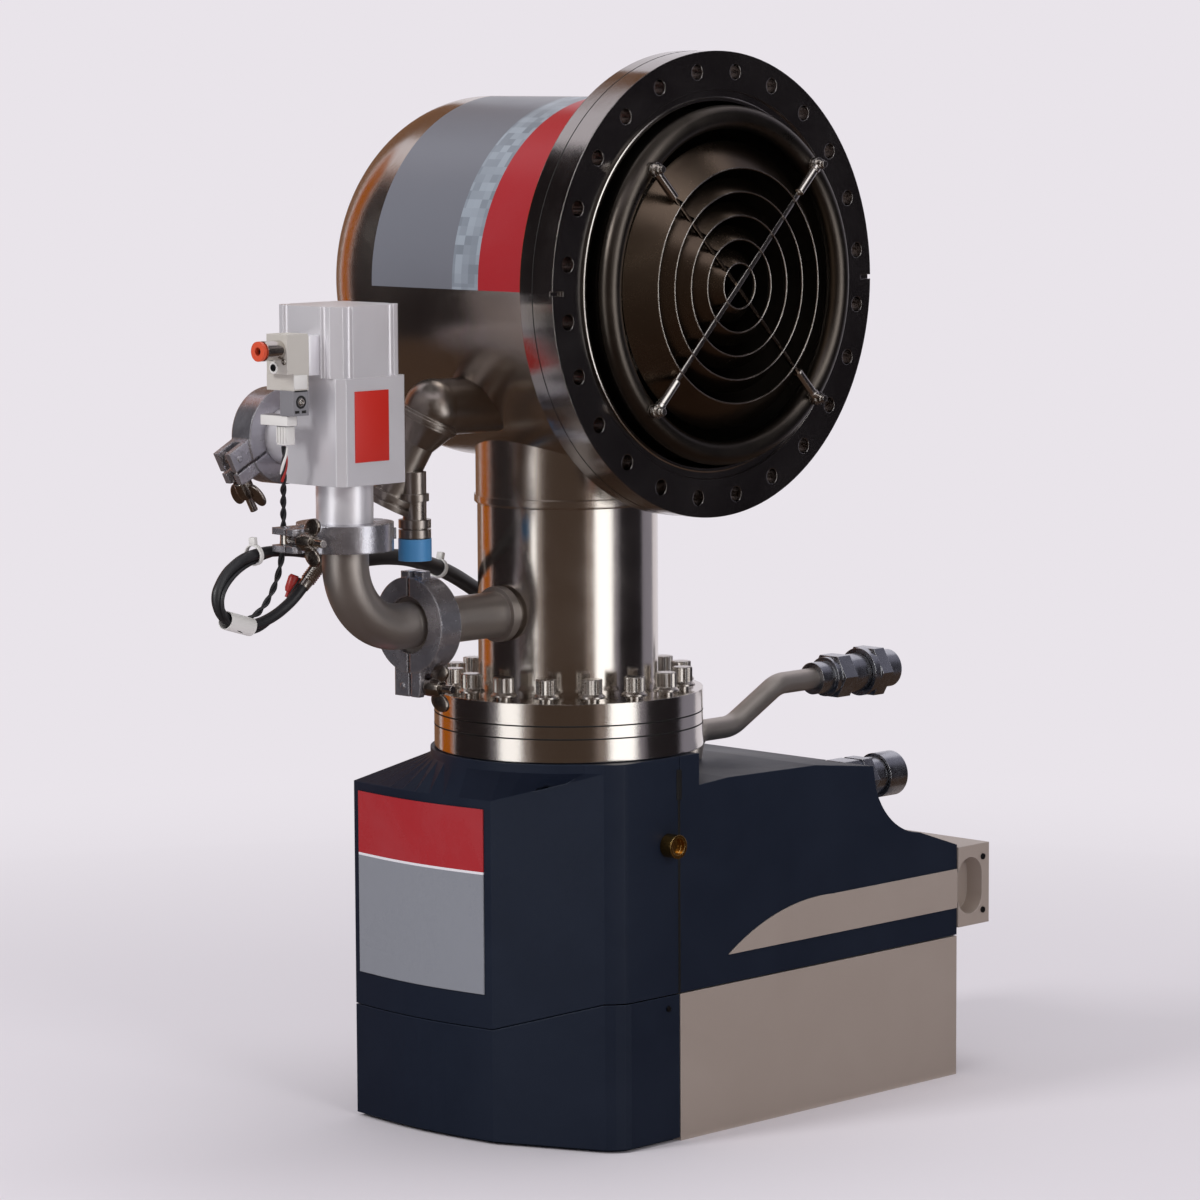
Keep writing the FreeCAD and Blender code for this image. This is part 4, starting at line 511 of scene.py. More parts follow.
def smooth_curve(points: list[Vector]) -> bpy.types.Object:
    """Lays a smooth open spline over a route's points.

    Args:
        points: the control points in metres.

    Returns:
        A curve object in the scene.
    """
    data = bpy.data.curves.new("route", "CURVE")
    data.dimensions = "3D"
    spline = data.splines.new("NURBS")
    spline.points.add(len(points) - 1)
    for point, place in zip(spline.points, points):
        point.co = (*place, 1.0)
    spline.order_u = ROUTE_ORDER
    spline.use_endpoint_u = True
    spline.resolution_u = ROUTE_STEPS
    curve = put_in_scene("route", data)
    bpy.context.view_layer.update()
    return curve


def as_mesh(curve: bpy.types.Object) -> bpy.types.Mesh:
    """Turns a curve into a mesh and removes the curve.

    Args:
        curve: the curve's object.

    Returns:
        The mesh.
    """
    data = bpy.data.meshes.new_from_object(curve.evaluated_get(bpy.context.evaluated_depsgraph_get()))
    bpy.data.objects.remove(curve)
    return data


def along_route(points: list[Vector]) -> list[Vector]:
    """Reads the points of a route's smooth spline.

    Args:
        points: the control points in metres.

    Returns:
        The spline's points.
    """
    data = as_mesh(smooth_curve(points))
    found = [vert.co.copy() for vert in data.vertices]
    bpy.data.meshes.remove(data)
    return found


def wound_round(route: list[Vector], radius: float, pitch: float, phase: float) -> list[Vector]:
    """Winds a line round a route.

    Args:
        route: the points that it follows.
        radius: how far it stays from them.
        pitch: the length of one turn.
        phase: the angle at which it starts, in radians.

    Returns:
        The wound line's points.
    """
    found = []
    side = UP.cross(route[1] - route[0]).normalized()
    gone = 0.0
    for index, spot in enumerate(route):
        ahead = (route[min(index + 1, len(route) - 1)] - route[max(index - 1, 0)]).normalized()
        side = (side - ahead * side.dot(ahead)).normalized()
        gone += (spot - route[max(index - 1, 0)]).length
        turn = phase + math.tau * gone / pitch
        found.append(spot + side * radius * math.cos(turn) + ahead.cross(side) * radius * math.sin(turn))
    return found


class Shape:
    """One new piece, shaped with mesh operators and then dressed."""

    def __init__(self) -> None:
        """Starts an empty mesh."""
        self.mesh = bmesh.new()

    @staticmethod
    def stand(at: Vector, way: Vector) -> Matrix:
        """Gives the matrix that stands a Z-up shape at a place, along a direction."""
        turn = UP.rotation_difference(way.normalized())
        return Matrix.Translation(at) @ turn.to_matrix().to_4x4()

    def take(self, part: bmesh.types.BMesh, place: Matrix = Matrix.Identity(4)) -> None:
        """Moves a part to its place and joins it to the piece.

        Args:
            part: the part's mesh, which is freed.
            place: where it goes.
        """
        bmesh.ops.transform(part, matrix=place, verts=part.verts)
        data = bpy.data.meshes.new("part")
        part.to_mesh(data)
        part.free()
        self.mesh.from_mesh(data)
        bpy.data.meshes.remove(data)

    def lathe(self, profile: list[tuple[float, float]], at: Vector, way: Vector, steps: int = 48,
              closed: bool = False, sweep: float = math.tau) -> None:
        """Turns a profile of radius and height about an axis.

        Args:
            profile: the corners, as radius and height in metres.
            at: where the axis starts.
            way: the axis's direction.
            steps: the number of sides.
            closed: whether the last corner joins the first.
            sweep: the angle that it is turned through.
        """
        part = bmesh.new()
        corners = [part.verts.new((radius, 0, high)) for radius, high in profile]
        pairs = list(zip(corners, corners[1:]))
        if closed:
            pairs.append((corners[-1], corners[0]))
        edges = [part.edges.new(pair) for pair in pairs]
        bmesh.ops.spin(part, geom=corners + edges, cent=(0, 0, 0), axis=(0, 0, 1), angle=sweep,
                       steps=steps, use_merge=sweep == math.tau)
        self.take(part, self.stand(at, way))

    def ring(self, inner: float, outer: float, low: float, high: float, at: Vector, way: Vector,
             steps: int) -> None:
        """Adds a plain ring, or a disc where its inner radius is 0.

        Args:
            inner: the inner radius in metres.
            outer: the outer radius.
            low: where it starts along the axis.
            high: where it ends.
            at: where the axis starts.
            way: the axis's direction.
            steps: the number of sides.
        """
        self.lathe([(inner, low), (outer, low), (outer, high), (inner, high)], at, way, steps, inner > 0)

    def block(self, low: tuple[float, float, float], high: tuple[float, float, float],
              frame_of: Matrix = Matrix.Identity(4), bevel: float = 0.0) -> None:
        """Adds a box between two corners, with its edges rounded.

        Args:
            low: the lowest corner in metres.
            high: the highest corner.
            frame_of: the frame that the corners are in.
            bevel: the rounding of its edges.
        """
        part = bmesh.new()
        start, end = Vector(low), Vector(high)
        shape = Matrix.Translation((start + end) / 2) @ Matrix.Diagonal((*(end - start), 1))
        bmesh.ops.create_cube(part, size=1, matrix=shape)
        if bevel:
            bmesh.ops.bevel(part, geom=list(part.edges), offset=bevel, segments=2, profile=0.5,
                            affect="EDGES", material=-1)
        self.take(part, frame_of)

    def star(self, tips: int, outer: float, inner: float, high: float, at: Vector, way: Vector,
             turn: float = 0.0, chamfer: float = 0.0) -> None:
        """Adds a prism with a pointed or fluted outline, such as a splined head.

        Args:
            tips: the number of points.
            outer: the radius at the points.
            inner: the radius between them.
            high: the prism's height.
            at: the middle of its foot.
            way: its axis.
            turn: the turn about the axis in radians.
            chamfer: how far its far face is drawn in.
        """
        part = bmesh.new()
        made = bmesh.ops.create_circle(part, cap_ends=True, segments=2 * tips, radius=outer)
        for index, vert in enumerate(made["verts"]):
            if index % 2:
                vert.co *= inner / outer
        up = bmesh.ops.extrude_face_region(part, geom=list(part.faces))
        tops = [item for item in up["geom"] if isinstance(item, bmesh.types.BMVert)]
        caps = [item for item in up["geom"] if isinstance(item, bmesh.types.BMFace)]
        bmesh.ops.translate(part, vec=(0, 0, high - chamfer), verts=tops)
        if chamfer:
            bmesh.ops.inset_region(part, faces=caps, thickness=chamfer, depth=chamfer)
        self.take(part, self.stand(at, way) @ Matrix.Rotation(turn, 4, "Z"))

    def lobe(self, middle: tuple[float, float], radii: tuple[float, float], tilt: float, thick: float,
             place: Matrix) -> None:
        """Adds a rounded flat lobe, such as a wing nut's ear.

        Args:
            middle: the lobe's middle in its own plane.
            radii: its half width and half height.
            tilt: its tilt in degrees.
            thick: its thickness.
            place: the frame whose X and Y span the plane.
        """
        part = bmesh.new()
        bmesh.ops.create_circle(part, cap_ends=True, segments=28, radius=1.0)
        up = bmesh.ops.extrude_face_region(part, geom=list(part.faces))
        tops = [item for item in up["geom"] if isinstance(item, bmesh.types.BMVert)]
        bmesh.ops.translate(part, vec=(0, 0, 1), verts=tops)
        form = (Matrix.Translation((*middle, -thick / 2)) @ Matrix.Rotation(math.radians(tilt), 4, "Z")
                @ Matrix.Diagonal((*radii, thick, 1)))
        bmesh.ops.transform(part, verts=part.verts, matrix=form)
        rims = [edge for edge in part.edges if edge.calc_face_angle(0.0) > 1.0]
        bmesh.ops.bevel(part, geom=rims, offset=thick * 0.3, segments=2, profile=0.5, affect="EDGES",
                        material=-1)
        self.take(part, place)

    def tube(self, path: list[Vector], radius: float) -> None:
        """Adds a round tube along a smooth path.

        Args:
            path: the control points.
            radius: the tube's radius.
        """
        curve = smooth_curve(path)
        curve.data.bevel_depth = radius
        curve.data.bevel_resolution = 3
        curve.data.use_fill_caps = True
        data = as_mesh(curve)
        self.mesh.from_mesh(data)
        bpy.data.meshes.remove(data)

    def repeat_round(self, count: int, at: Vector, way: Vector) -> None:
        """Copies what stands so far round an axis, so that it is there count times.

        Args:
            count: how many there are in the end.
            at: a point on the axis.
            way: the axis's direction.
        """
        base = list(self.mesh.verts) + list(self.mesh.edges) + list(self.mesh.faces)
        bmesh.ops.spin(self.mesh, geom=base, cent=at, axis=way, angle=math.tau, steps=count,
                       use_duplicate=True)
        bmesh.ops.remove_doubles(self.mesh, verts=self.mesh.verts, dist=WELD_REACH)

    def done(self, name: str, finish: bpy.types.Material, body: str, slot: str,
             replaces: tuple[str, ...] = (), smooth_angle: float = 35.0) -> bpy.types.Object:
        """Turns the mesh into a dressed piece that rides on a body.

        Args:
            name: the piece's name.
            finish: its material.
            body: the body that it rides on.
            slot: the record's material slot; it is not used.
            replaces: the nodes that it stands for.
            smooth_angle: the angle in degrees below which edges are shaded smooth.

        Returns:
            The new object.
        """
        bmesh.ops.remove_doubles(self.mesh, verts=self.mesh.verts, dist=WELD_REACH)
        bmesh.ops.recalc_face_normals(self.mesh, faces=self.mesh.faces)
        for face in self.mesh.faces:
            face.smooth = True
        for edge in self.mesh.edges:
            edge.smooth = edge.calc_face_angle(0.0) < math.radians(smooth_angle)
        data = bpy.data.meshes.new(name)
        self.mesh.to_mesh(data)
        self.mesh.free()
        piece = put_in_scene(name, data)
        data.materials.append(finish)
        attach(piece, body)
        if replaces:
            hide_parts(*replaces)
        LOG.info("%s: %d faces on %s", name, len(data.polygons), body)
        return piece


class Finishes:
    """All the finishes, built once and handed out by name."""

    def __init__(self) -> None:
        """Builds the shared groups and every material."""
        groups = SharedGroups()
        self.made = {finish.name: finish.material(groups) for finish in FINISHES}

    def __getitem__(self, name: str) -> bpy.types.Material:
        """Returns the material of that name."""
        return self.made[name]

    def dress_nodes(self) -> None:
        """Gives each carried-over node its finish."""
        for name, finish in NODE_FINISHES.items():
            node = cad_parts[name]
            for slot in node.material_slots:
                slot.material = self.made[finish]
            LOG.info("%s: %s", name, finish)


@dataclass
class FlangeScrews:
    """The splined screws that hold the column to the cold head."""

    circle: float = 0.06515
    count: int = 16
    start: float = 11.25
    shank: float = 0.004
    shank_over: float = 0.0005
    collar: float = 0.0073
    collar_high: float = 0.001
    cone_high: float = 0.0024
    head: float = 0.0058
    splines: int = 12
    root_share: float = 0.87
    spline_foot: float = 0.0022
    spline_high: float = 0.0084
    chamfer: float = 0.0005

    def build(self, finishes: Finishes) -> None:
        """Builds one screw, then the whole ring.

        Args:
            finishes: the finishes to dress it in.
        """
        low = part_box("flange_screws")[0][2]
        collar_top = COLUMN_TOP + self.collar_high
        cone_top = COLUMN_TOP + self.cone_high
        angle = math.radians(self.start)
        foot = Vector((self.circle * math.cos(angle), self.circle * math.sin(angle), 0))
        shape = Shape()
        shape.ring(0.0, self.shank, low, COLUMN_TOP + self.shank_over, foot, UP, steps=20)
        shape.lathe([(0.0, COLUMN_TOP), (self.collar, COLUMN_TOP), (self.collar, collar_top),
                     (self.head, cone_top), (0.0, cone_top)], foot, UP, steps=32)
        shape.star(self.splines, self.head, self.head * self.root_share, self.spline_high,
                   foot + UP * (COLUMN_TOP + self.spline_foot), UP, turn=angle, chamfer=self.chamfer)
        shape.repeat_round(self.count, Vector((0, 0, 0)), UP)
        shape.done("splined_screws", finishes["screw_steel"], "base", "polished_steel", ("flange_screws",))


@dataclass
class VesselPrint:
    """The thin printed sheet that lies round the vessel's upper side."""

    radius: float = VESSEL_RADIUS
    thick: float = 0.0003
    start: float = -0.050
    end: float = 0.066
    low_angle: float = 180.8
    high_angle: float = 95.0
    steps: int = 72

    def build(self, finishes: Finishes) -> None:
        """Builds the sheet as a strip turned about the vessel's axis.

        Args:
            finishes: the finishes to dress it in.
        """
        outer = self.radius + self.thick
        first = math.radians(self.low_angle)
        part = bmesh.new()
        corners = [part.verts.new((x, outer * math.cos(first), outer * math.sin(first)))
                   for x in (self.start, self.end)]
        edge = part.edges.new(corners)
        bmesh.ops.spin(part, geom=corners + [edge], cent=(0, 0, 0), axis=(1, 0, 0),
                       angle=math.radians(self.high_angle - self.low_angle), steps=self.steps)
        shape = Shape()
        shape.take(part, Matrix.Translation(INLET))
        shape.done("vessel_print", finishes["vessel_print"], "base", "label_print")


@dataclass
class ValvePlate:
    """The bare red plate on the valve block."""

    face: float = 0.025
    left: float = -0.0151
    right: float = 0.0094
    low: float = 0.3911
    high: float = 0.4290
    thick: float = 0.0005

    def build(self, finishes: Finishes) -> None:
        """Builds the plate in the valve's own frame.

        Args:
            finishes: the finishes to dress it in.
        """
        shape = Shape()
        shape.block((self.face - SUNK, self.left, self.low),
                    (self.face + self.thick, self.right, self.high), VALVE_FRAME, bevel=FINE_BEVEL)
        shape.done("valve_plate", finishes["red_print"], "base", "label_print")


@dataclass
class SolenoidTrim:
    """The solenoid's screws, its override's collar, its side panel and its pale plug housing.

    Sizes are in the valve's own frame. Places on the front are X and Z. Places on the right side are
    measured backwards from the coil's front, then upwards: near, far, low and high.
    """

    right: float = 0.0102
    front: float = -0.04925
    coil_front: float = -0.04535
    skin: float = 0.0002
    override: tuple[float, float] = (-0.0004, 0.4424)
    panel: tuple[float, float, float, float] = (0.0006, 0.0100, 0.4310, 0.4386)
    screw: tuple[float, float] = (0.0078, 0.4458)
    screw_radius: float = 0.0017
    coil_screw: tuple[float, float] = (0.0055, 0.4242)
    coil_screw_radius: float = 0.0021
    mark_ring: tuple[float, float] = (0.0024, 0.0035)
    marks: tuple[tuple[float, float, float, float], ...] = (
        (0.0012, 0.0042, 0.4183, 0.4197), (0.0060, 0.0090, 0.4183, 0.4197),
        (0.0010, 0.0100, 0.4296, 0.4304),
    )
    mark_thick: float = 0.00015
    fitting: tuple[float, float] = (0.0038, 0.4518)
    fitting_reach: float = 0.0118
    bore_radius: float = 0.0021
    bore_thick: float = 0.0004
    plate: tuple[float, float, float, float] = (-0.0168, 0.0043, 0.4112, 0.4169)
    plate_back: float = 0.0010
    plug: tuple[float, float, float, float] = (-0.0052, 0.0025, 0.4010, 0.4112)
    plug_back: float = 0.0020
    housing_deep: float = 0.0078
    ribs: int = 4
    rib_half: float = 0.0004
    rib_margin: float = 0.0006
    rib_foot: float = 0.0010
    rib_deep: tuple[float, float] = (0.0012, 0.0022)
    pad_corner: tuple[float, float, float] = (-0.0052, -0.0340, 0.4378)
    pad_back: float = -0.0264
    pad_top: float = 0.4592

    def screw_head(self, shape: Shape, at: Vector, way: Vector, radius: float) -> None:
        """Adds a domed head with a recess.

        Args:
            shape: the piece that takes it.
            at: the head's foot in the pump's frame.
            way: its axis.
            radius: its radius.
        """
        shape.lathe([(0.0, 0.0), (radius, 0.0), (radius, radius * 0.25), (radius * 0.8, radius * 0.5),
                     (radius * 0.35, radius * 0.55), (radius * 0.3, radius * 0.25), (0.0, radius * 0.25)],
                    at, way, steps=28)

    def on_side(self, shape: Shape, spot: tuple[float, float, float, float], thick: float,
                bevel: float = 0.0) -> None:
        """Lays a thin plate on the right side.

        Args:
            shape: the piece that takes it.
            spot: its near, far, low and high edges.
            thick: how far it stands out.
            bevel: the rounding of its edges.
        """
        near, far, low, high = spot
        shape.block((self.right - SUNK, self.coil_front + near, low),
                    (self.right + thick, self.coil_front + far, high), VALVE_FRAME, bevel=bevel)

    def build(self, finishes: Finishes) -> None:
        """Builds the trim in the valve's own frame.

        Args:
            finishes: the finishes to dress it in.
        """
        out = VALVE_FRAME.to_3x3() @ Vector((0, -1, 0))
        side = VALVE_FRAME.to_3x3() @ Vector((1, 0, 0))
        collar = Shape()
        button = VALVE_FRAME @ Vector((self.override[0], self.front, self.override[1]))
        collar.lathe([(0.0019, 0.0), (0.0033, 0.0), (0.0033, 0.0003), (0.0029, 0.0006), (0.0022, 0.0006),
                      (0.0019, 0.0003)], button, out, steps=32, closed=True)
        self.on_side(collar, self.panel, self.skin, bevel=0.0001)
        collar.done("override_collar", finishes["white_plastic"], "base", "cream_plastic")
        screws = Shape()
        front_place = VALVE_FRAME @ Vector((self.screw[0], self.front, self.screw[1]))
        self.screw_head(screws, front_place, out, self.screw_radius)
        coil_place = VALVE_FRAME @ Vector((self.right, self.coil_front + self.coil_screw[0],
                                           self.coil_screw[1]))
        self.screw_head(screws, coil_place, side, self.coil_screw_radius)
        screws.done("solenoid_screws", finishes["bright_steel"], "base", "polished_steel")
        marks = Shape()
        marks.ring(*self.mark_ring, 0.0, self.mark_thick, coil_place, side, steps=32)
        for spot in self.marks:
            self.on_side(marks, spot, self.mark_thick)
        marks.done("solenoid_marks", finishes["dark_gap"], "base", "black_cable")
        # A near-black disc in the push fitting's mouth: painted shade inside the fitting's hole.
        bore_shade = Shape()
        mouth = VALVE_FRAME @ Vector((self.fitting[0], self.front - self.fitting_reach, self.fitting[1]))
        bore_shade.ring(0.0, self.bore_radius, 0.0, self.bore_thick, mouth, out, steps=24)
        bore_shade.done("fitting_bore_shade", finishes["dark_gap"], "base", "black_cable")
        self.plug_housing(finishes)
        pad = Shape()
        pad.block(self.pad_corner, (self.right + self.skin, self.pad_back, self.pad_top), VALVE_FRAME,
                  bevel=FINE_BEVEL)
        pad.done("solenoid_pad", finishes["silver_anodised"], "base", "silver_anodised")

    def plug_housing(self, finishes: Finishes) -> None:
        """Builds the pale skin over the plate and the plug, with the plug's ribs.

        Args:
            finishes: the finishes to dress it in.
        """
        housing = Shape()
        for (left, right, low, high), back in ((self.plate, self.plate_back), (self.plug, self.plug_back)):
            housing.block((left - self.skin, self.coil_front + back - self.skin, low),
                          (right + self.skin, self.coil_front + self.housing_deep, high - self.skin),
                          VALVE_FRAME, bevel=0.0004)
        left, right, low, high = self.plug
        near, far = (self.coil_front + deep for deep in self.rib_deep)
        step = (right - left - 2 * self.rib_margin) / (self.ribs - 1)
        for index in range(self.ribs):
            place = left + self.rib_margin + index * step
            housing.block((place - self.rib_half, near, low + self.rib_foot),
                          (place + self.rib_half, far, high - self.rib_margin), VALVE_FRAME,
                          bevel=FINE_BEVEL)
        housing.done("plug_housing", finishes["white_plastic"], "base", "cream_plastic")


@dataclass
class WingNuts:
    """The winged nuts on the three clamp bolts."""

    reach: float = 0.034
    foot: float = 0.0083
    hub: float = 0.005
    high: float = 0.010
    bolt: float = 0.0024
    ear_place: tuple[float, float] = (0.0078, 0.0086)
    ear_radii: tuple[float, float] = (0.0048, 0.0068)
    ear_tilt: float = 24
    ear_thick: float = 0.0022
    valve_seal: tuple[float, float, float] = (0, 0, 0.3495)
    valve_turn: float = -96
    column_seal: tuple[float, float, float] = (0, -0.1165, 0.297)
    outlet_seal: tuple[float, float, float] = (-0.0535, 0, 0.401)
    outlet_turn: float = 28

    def frames(self) -> dict[str, Matrix]:
        """Gives each clamp's frame: its pipe along Z, its lugs towards X and its bolt along Y.

        Returns:
            The frames by the clamps' names.
        """
        lay = Matrix(((0, 0, 1), (-1, 0, 0), (0, -1, 0))).to_4x4()
        drop = Matrix(((0, 1, 0), (0, 0, -1), (-1, 0, 0))).to_4x4()
        return {
            "valve": VALVE_FRAME @ Matrix.Translation(self.valve_seal)
            @ Matrix.Rotation(math.radians(self.valve_turn), 4, "Z"),
            "column": Matrix.Translation(self.column_seal) @ drop,
            "outlet": VALVE_FRAME @ Matrix.Translation(self.outlet_seal) @ lay
            @ Matrix.Rotation(math.radians(self.outlet_turn), 4, "Z"),
        }

    def build(self, finishes: Finishes) -> None:
        """Builds one nut on each bolt.

        Args:
            finishes: the finishes to dress it in.
        """
        profile = [(self.bolt, 0.0), (self.hub, 0.0), (self.hub, self.high * 0.6),
                   (self.hub * 0.8, self.high), (self.bolt, self.high)]
        for word, place in self.frames().items():
            shape = Shape()
            at = place @ Vector((self.reach, self.foot, 0))
            way = place.to_3x3() @ Vector((0, 1, 0))
            shape.lathe(profile, at, way, steps=32, closed=True)
            turn = Matrix.Identity(4) if word == "column" else Matrix.Rotation(math.radians(90), 4, "Y")
            plane = place @ Matrix.Translation((self.reach, self.foot, 0)) @ turn
            for side in (1, -1):
                shape.lobe((side * self.ear_place[0], self.ear_place[1]), self.ear_radii,
                           -side * self.ear_tilt, self.ear_thick, plane)
            shape.done(word + "_wing_nut", finishes["polished_nut"], word + "_nut", "cast_aluminium",
                       (word + "_clamp_nut",))


@dataclass(frozen=True)
class Strand:
    """One strand: how it winds round its route, how many of the route's points it takes, its look."""

    name: str
    finish: str
    radius: float
    offset: float
    pitch: float
    phase: float
    points: int | None = None
    replaces: tuple[str, ...] = ()

    def build(self, route: list[Vector], finishes: Finishes) -> None:
        """Builds the strand.

        Args:
            route: the points of the route that it winds round.
            finishes: the finishes to dress it in.
        """
        shape = Shape()
        shape.tube(wound_round(route[:self.points], self.offset, self.pitch, self.phase), self.radius)
        shape.done(self.name, finishes[self.finish], "base", "black_cable", self.replaces, smooth_angle=60)


@dataclass(frozen=True)
class Band:
    """One tie with its lock, or one plain sleeve, at a share of its route."""

    name: str
    share: float
    radius: float
    wide: float
    thick: float
    lock: bool = True
    lock_half: float = 0.002
    lock_reach: float = 0.0036
    lock_sunk: float = 0.0004

    def build(self, route: list[Vector], finishes: Finishes) -> None:
        """Builds the band.

        Args:
            route: the points of the route that it goes round.
            finishes: the finishes to dress it in.
        """
        index = round(self.share * (len(route) - 1))
        ahead = (route[min(index + 2, len(route) - 1)] - route[max(index - 2, 0)]).normalized()
        shape = Shape()
        outer = self.radius + self.thick
        lip = min(self.thick, self.wide) * 0.3
        shape.lathe([(self.radius, 0), (outer - lip, 0), (outer, lip), (outer, self.wide - lip),
                     (outer - lip, self.wide), (self.radius, self.wide)],
                    route[index] - ahead * self.wide / 2, ahead, steps=32, closed=True)
        if self.lock:
            across = ahead.cross(UP).normalized()
            turn = Matrix((ahead, across, ahead.cross(across))).transposed().to_4x4()
            shape.block((-self.wide / 2, -self.lock_half, -outer - self.lock_reach),
                        (self.wide / 2, self.lock_half, -outer + self.lock_sunk),
                        Matrix.Translation(route[index]) @ turn, bevel=0.0004)
        shape.done(self.name, finishes["white_plastic"], "base", "cream_plastic")


@dataclass
class HarnessTrim:
    """Thin strands, ties and sleeves on the control cable, and the valve's twisted wires.

    The three routes are in millimetres. The thread's sizes and the boot's place are in metres.
    """

    loop: tuple[tuple[float, float, float], ...] = (
        (-34, -127, 331), (-33, -146, 334.5), (-30, -166, 337.5), (-27, -186, 341), (-25, -206, 342),
        (-22, -224, 340), (-19, -239, 333), (-17, -248, 322), (-17, -244, 311), (-18, -230, 305),
        (-20, -215, 304), (-21, -201, 308), (-21, -189, 315), (-20, -180, 324),
    )
    wires: tuple[tuple[float, float, float], ...] = (
        (-2.2, -210.8, 400), (-3.6, -210.2, 387), (-11.8, -203.6, 373.5), (-19, -197.2, 360),
        (-20.6, -196, 347), (-19.4, -199, 335), (-18.2, -204.4, 324), (-18.6, -211.6, 313.6),
        (-18.2, -220, 308.6), (-17.8, -227.5, 306.6),
    )
    bundle: tuple[tuple[float, float, float], ...] = (
        (-66, 64, 202), (-68, 62, 222), (-71, 56, 243), (-74, 45, 262), (-74, 29, 279), (-70, 9, 293),
        (-65, -13, 304), (-58, -35, 313.5), (-52, -57, 321), (-47, -79, 327), (-42, -102, 330),
        (-35, -126, 331),
    )
    loop_strand: Strand = Strand("loop_strand", "black_cable", 0.0011, 0.0040, 0.14, 0.6)
    wire_strands: tuple[Strand, ...] = (
        Strand("wire_dark", "black_cable", 0.0009, 0.0009, 0.017, 0.0, replaces=("valve_wires",)),
        Strand("wire_light", "black_cable", 0.0009, 0.0009, 0.017, math.pi),
        Strand("wire_red", "red_plastic", 0.0008, 0.0013, 0.03, 1.6, points=9),
        Strand("wire_white", "white_plastic", 0.0008, 0.0013, 0.03, 3.4, points=7),
    )
    loop_bands: tuple[Band, ...] = (
        Band("loop_tie", 0.33, 0.0050, 0.0028, 0.0009),
        Band("loop_sleeve", 0.70, 0.0046, 0.020, 0.0004, lock=False),
    )
    bundle_tie: Band = Band("bundle_tie", 0.71, 0.0047, 0.0030, 0.0009)
    threads: int = 7
    thread_pitch: float = 0.0014
    thread_root: float = 0.0036
    thread_crest: float = 0.0042
    nut_place: float = 0.0118
    boot_offset: tuple[float, float, float] = (-0.0062, -0.0030, 0.0035)
    boot_way: tuple[float, float, float] = (-0.18, -0.35, -1)

    @staticmethod
    def route(points: tuple[tuple[float, float, float], ...]) -> list[Vector]:
        """Reads the smooth route through points that are in millimetres."""
        return along_route([Vector(point) * MM for point in points])

    def build(self, finishes: Finishes) -> None:
        """Builds the strands, then the bands over them.

        Args:
            finishes: the finishes to dress it in.
        """
        loop, wires = self.route(self.loop), self.route(self.wires)
        self.loop_strand.build(loop, finishes)
        for strand in self.wire_strands:
            strand.build(wires, finishes)
        for band in self.loop_bands:
            band.build(loop, finishes)
        self.connector(finishes)
        self.bundle_tie.build(self.route(self.bundle), finishes)

    def connector(self, finishes: Finishes) -> None:
        """Builds the threaded connector at the cable's end and the small red boot beside it.

        Args:
            finishes: the finishes to dress it in.
        """
        start = Vector(self.loop[-1]) * MM
        ahead = (start - Vector(self.loop[-2]) * MM).normalized()
        shape = Shape()
        profile = [(0.0, -0.004), (0.0034, -0.004), (self.thread_root, 0.0)]
        for turn in range(self.threads):
            profile += [(self.thread_root, 0.0006 + self.thread_pitch * turn),
                        (self.thread_crest, 0.0013 + self.thread_pitch * turn)]
        profile += [(self.thread_root, 0.0108), (0.0047, 0.0112), (0.0047, 0.0155), (0.0030, 0.0162),
                    (0.0, 0.0162)]
        shape.lathe(profile, start, ahead, steps=28)
        shape.star(6, 0.0052, 0.0046, 0.0034, start + ahead * self.nut_place, ahead, chamfer=0.0003)
        shape.done("cable_connector", finishes["bright_steel"], "base", "polished_steel")
        boot = Shape()
        boot.lathe([(0.0, 0.0), (0.0022, 0.0), (0.0030, 0.0015), (0.0028, 0.0078), (0.0021, 0.0096),
                    (0.0012, 0.0100), (0.0012, 0.0128), (0.0, 0.0128)],
                   start + Vector(self.boot_offset), Vector(self.boot_way), steps=24)
        boot.done("wire_boot", finishes["red_plastic"], "base", "black_cable")


@dataclass
class TubeWelds:
    """The low weld beads where tubes meet. A pair is a bead's place along its tube and its radius."""

    bead: float = 0.0007
    bead_sunk: float = 0.0004
    bead_spread: float = 1.6
    bead_sides: int = 10
    line_height: float = 0.297
    neck: tuple[float, float] = (0.357, 0.0516)
    side: tuple[float, float] = (-0.0545, 0.0127)
    elbow: tuple[float, float] = (-0.1250, 0.0125)

    def weld(self, name: str, at: Vector, way: Vector, radius: float, finish: bpy.types.Material) -> None:
        """Builds one bead.

        Args:
            name: the piece's name.
            at: the bead's middle.
            way: the tube's direction.
            radius: the tube's radius.
            finish: its material.
        """
        shape = Shape()
        turns = (math.tau * index / self.bead_sides for index in range(self.bead_sides))
        corners = [(radius - self.bead_sunk + self.bead * math.sin(turn),
                    self.bead_spread * self.bead * math.cos(turn)) for turn in turns]
        shape.lathe(corners, at, way, steps=96, closed=True)
        shape.done(name, finish, "base", "blasted_steel")

    def build(self, finishes: Finishes) -> None:
        """Builds the beads on the column and round its side tube.

        Args:
            finishes: the finishes to dress it in.
        """
        self.weld("neck_bead", Vector((0, 0, self.neck[0])), UP, self.neck[1], finishes["column_steel"])
        for name, (place, radius) in (("side_bead", self.side), ("elbow_bead", self.elbow)):
            self.weld(name, Vector((0, place, self.line_height)), Vector((0, -1, 0)), radius,
                      finishes["blasted_steel"])


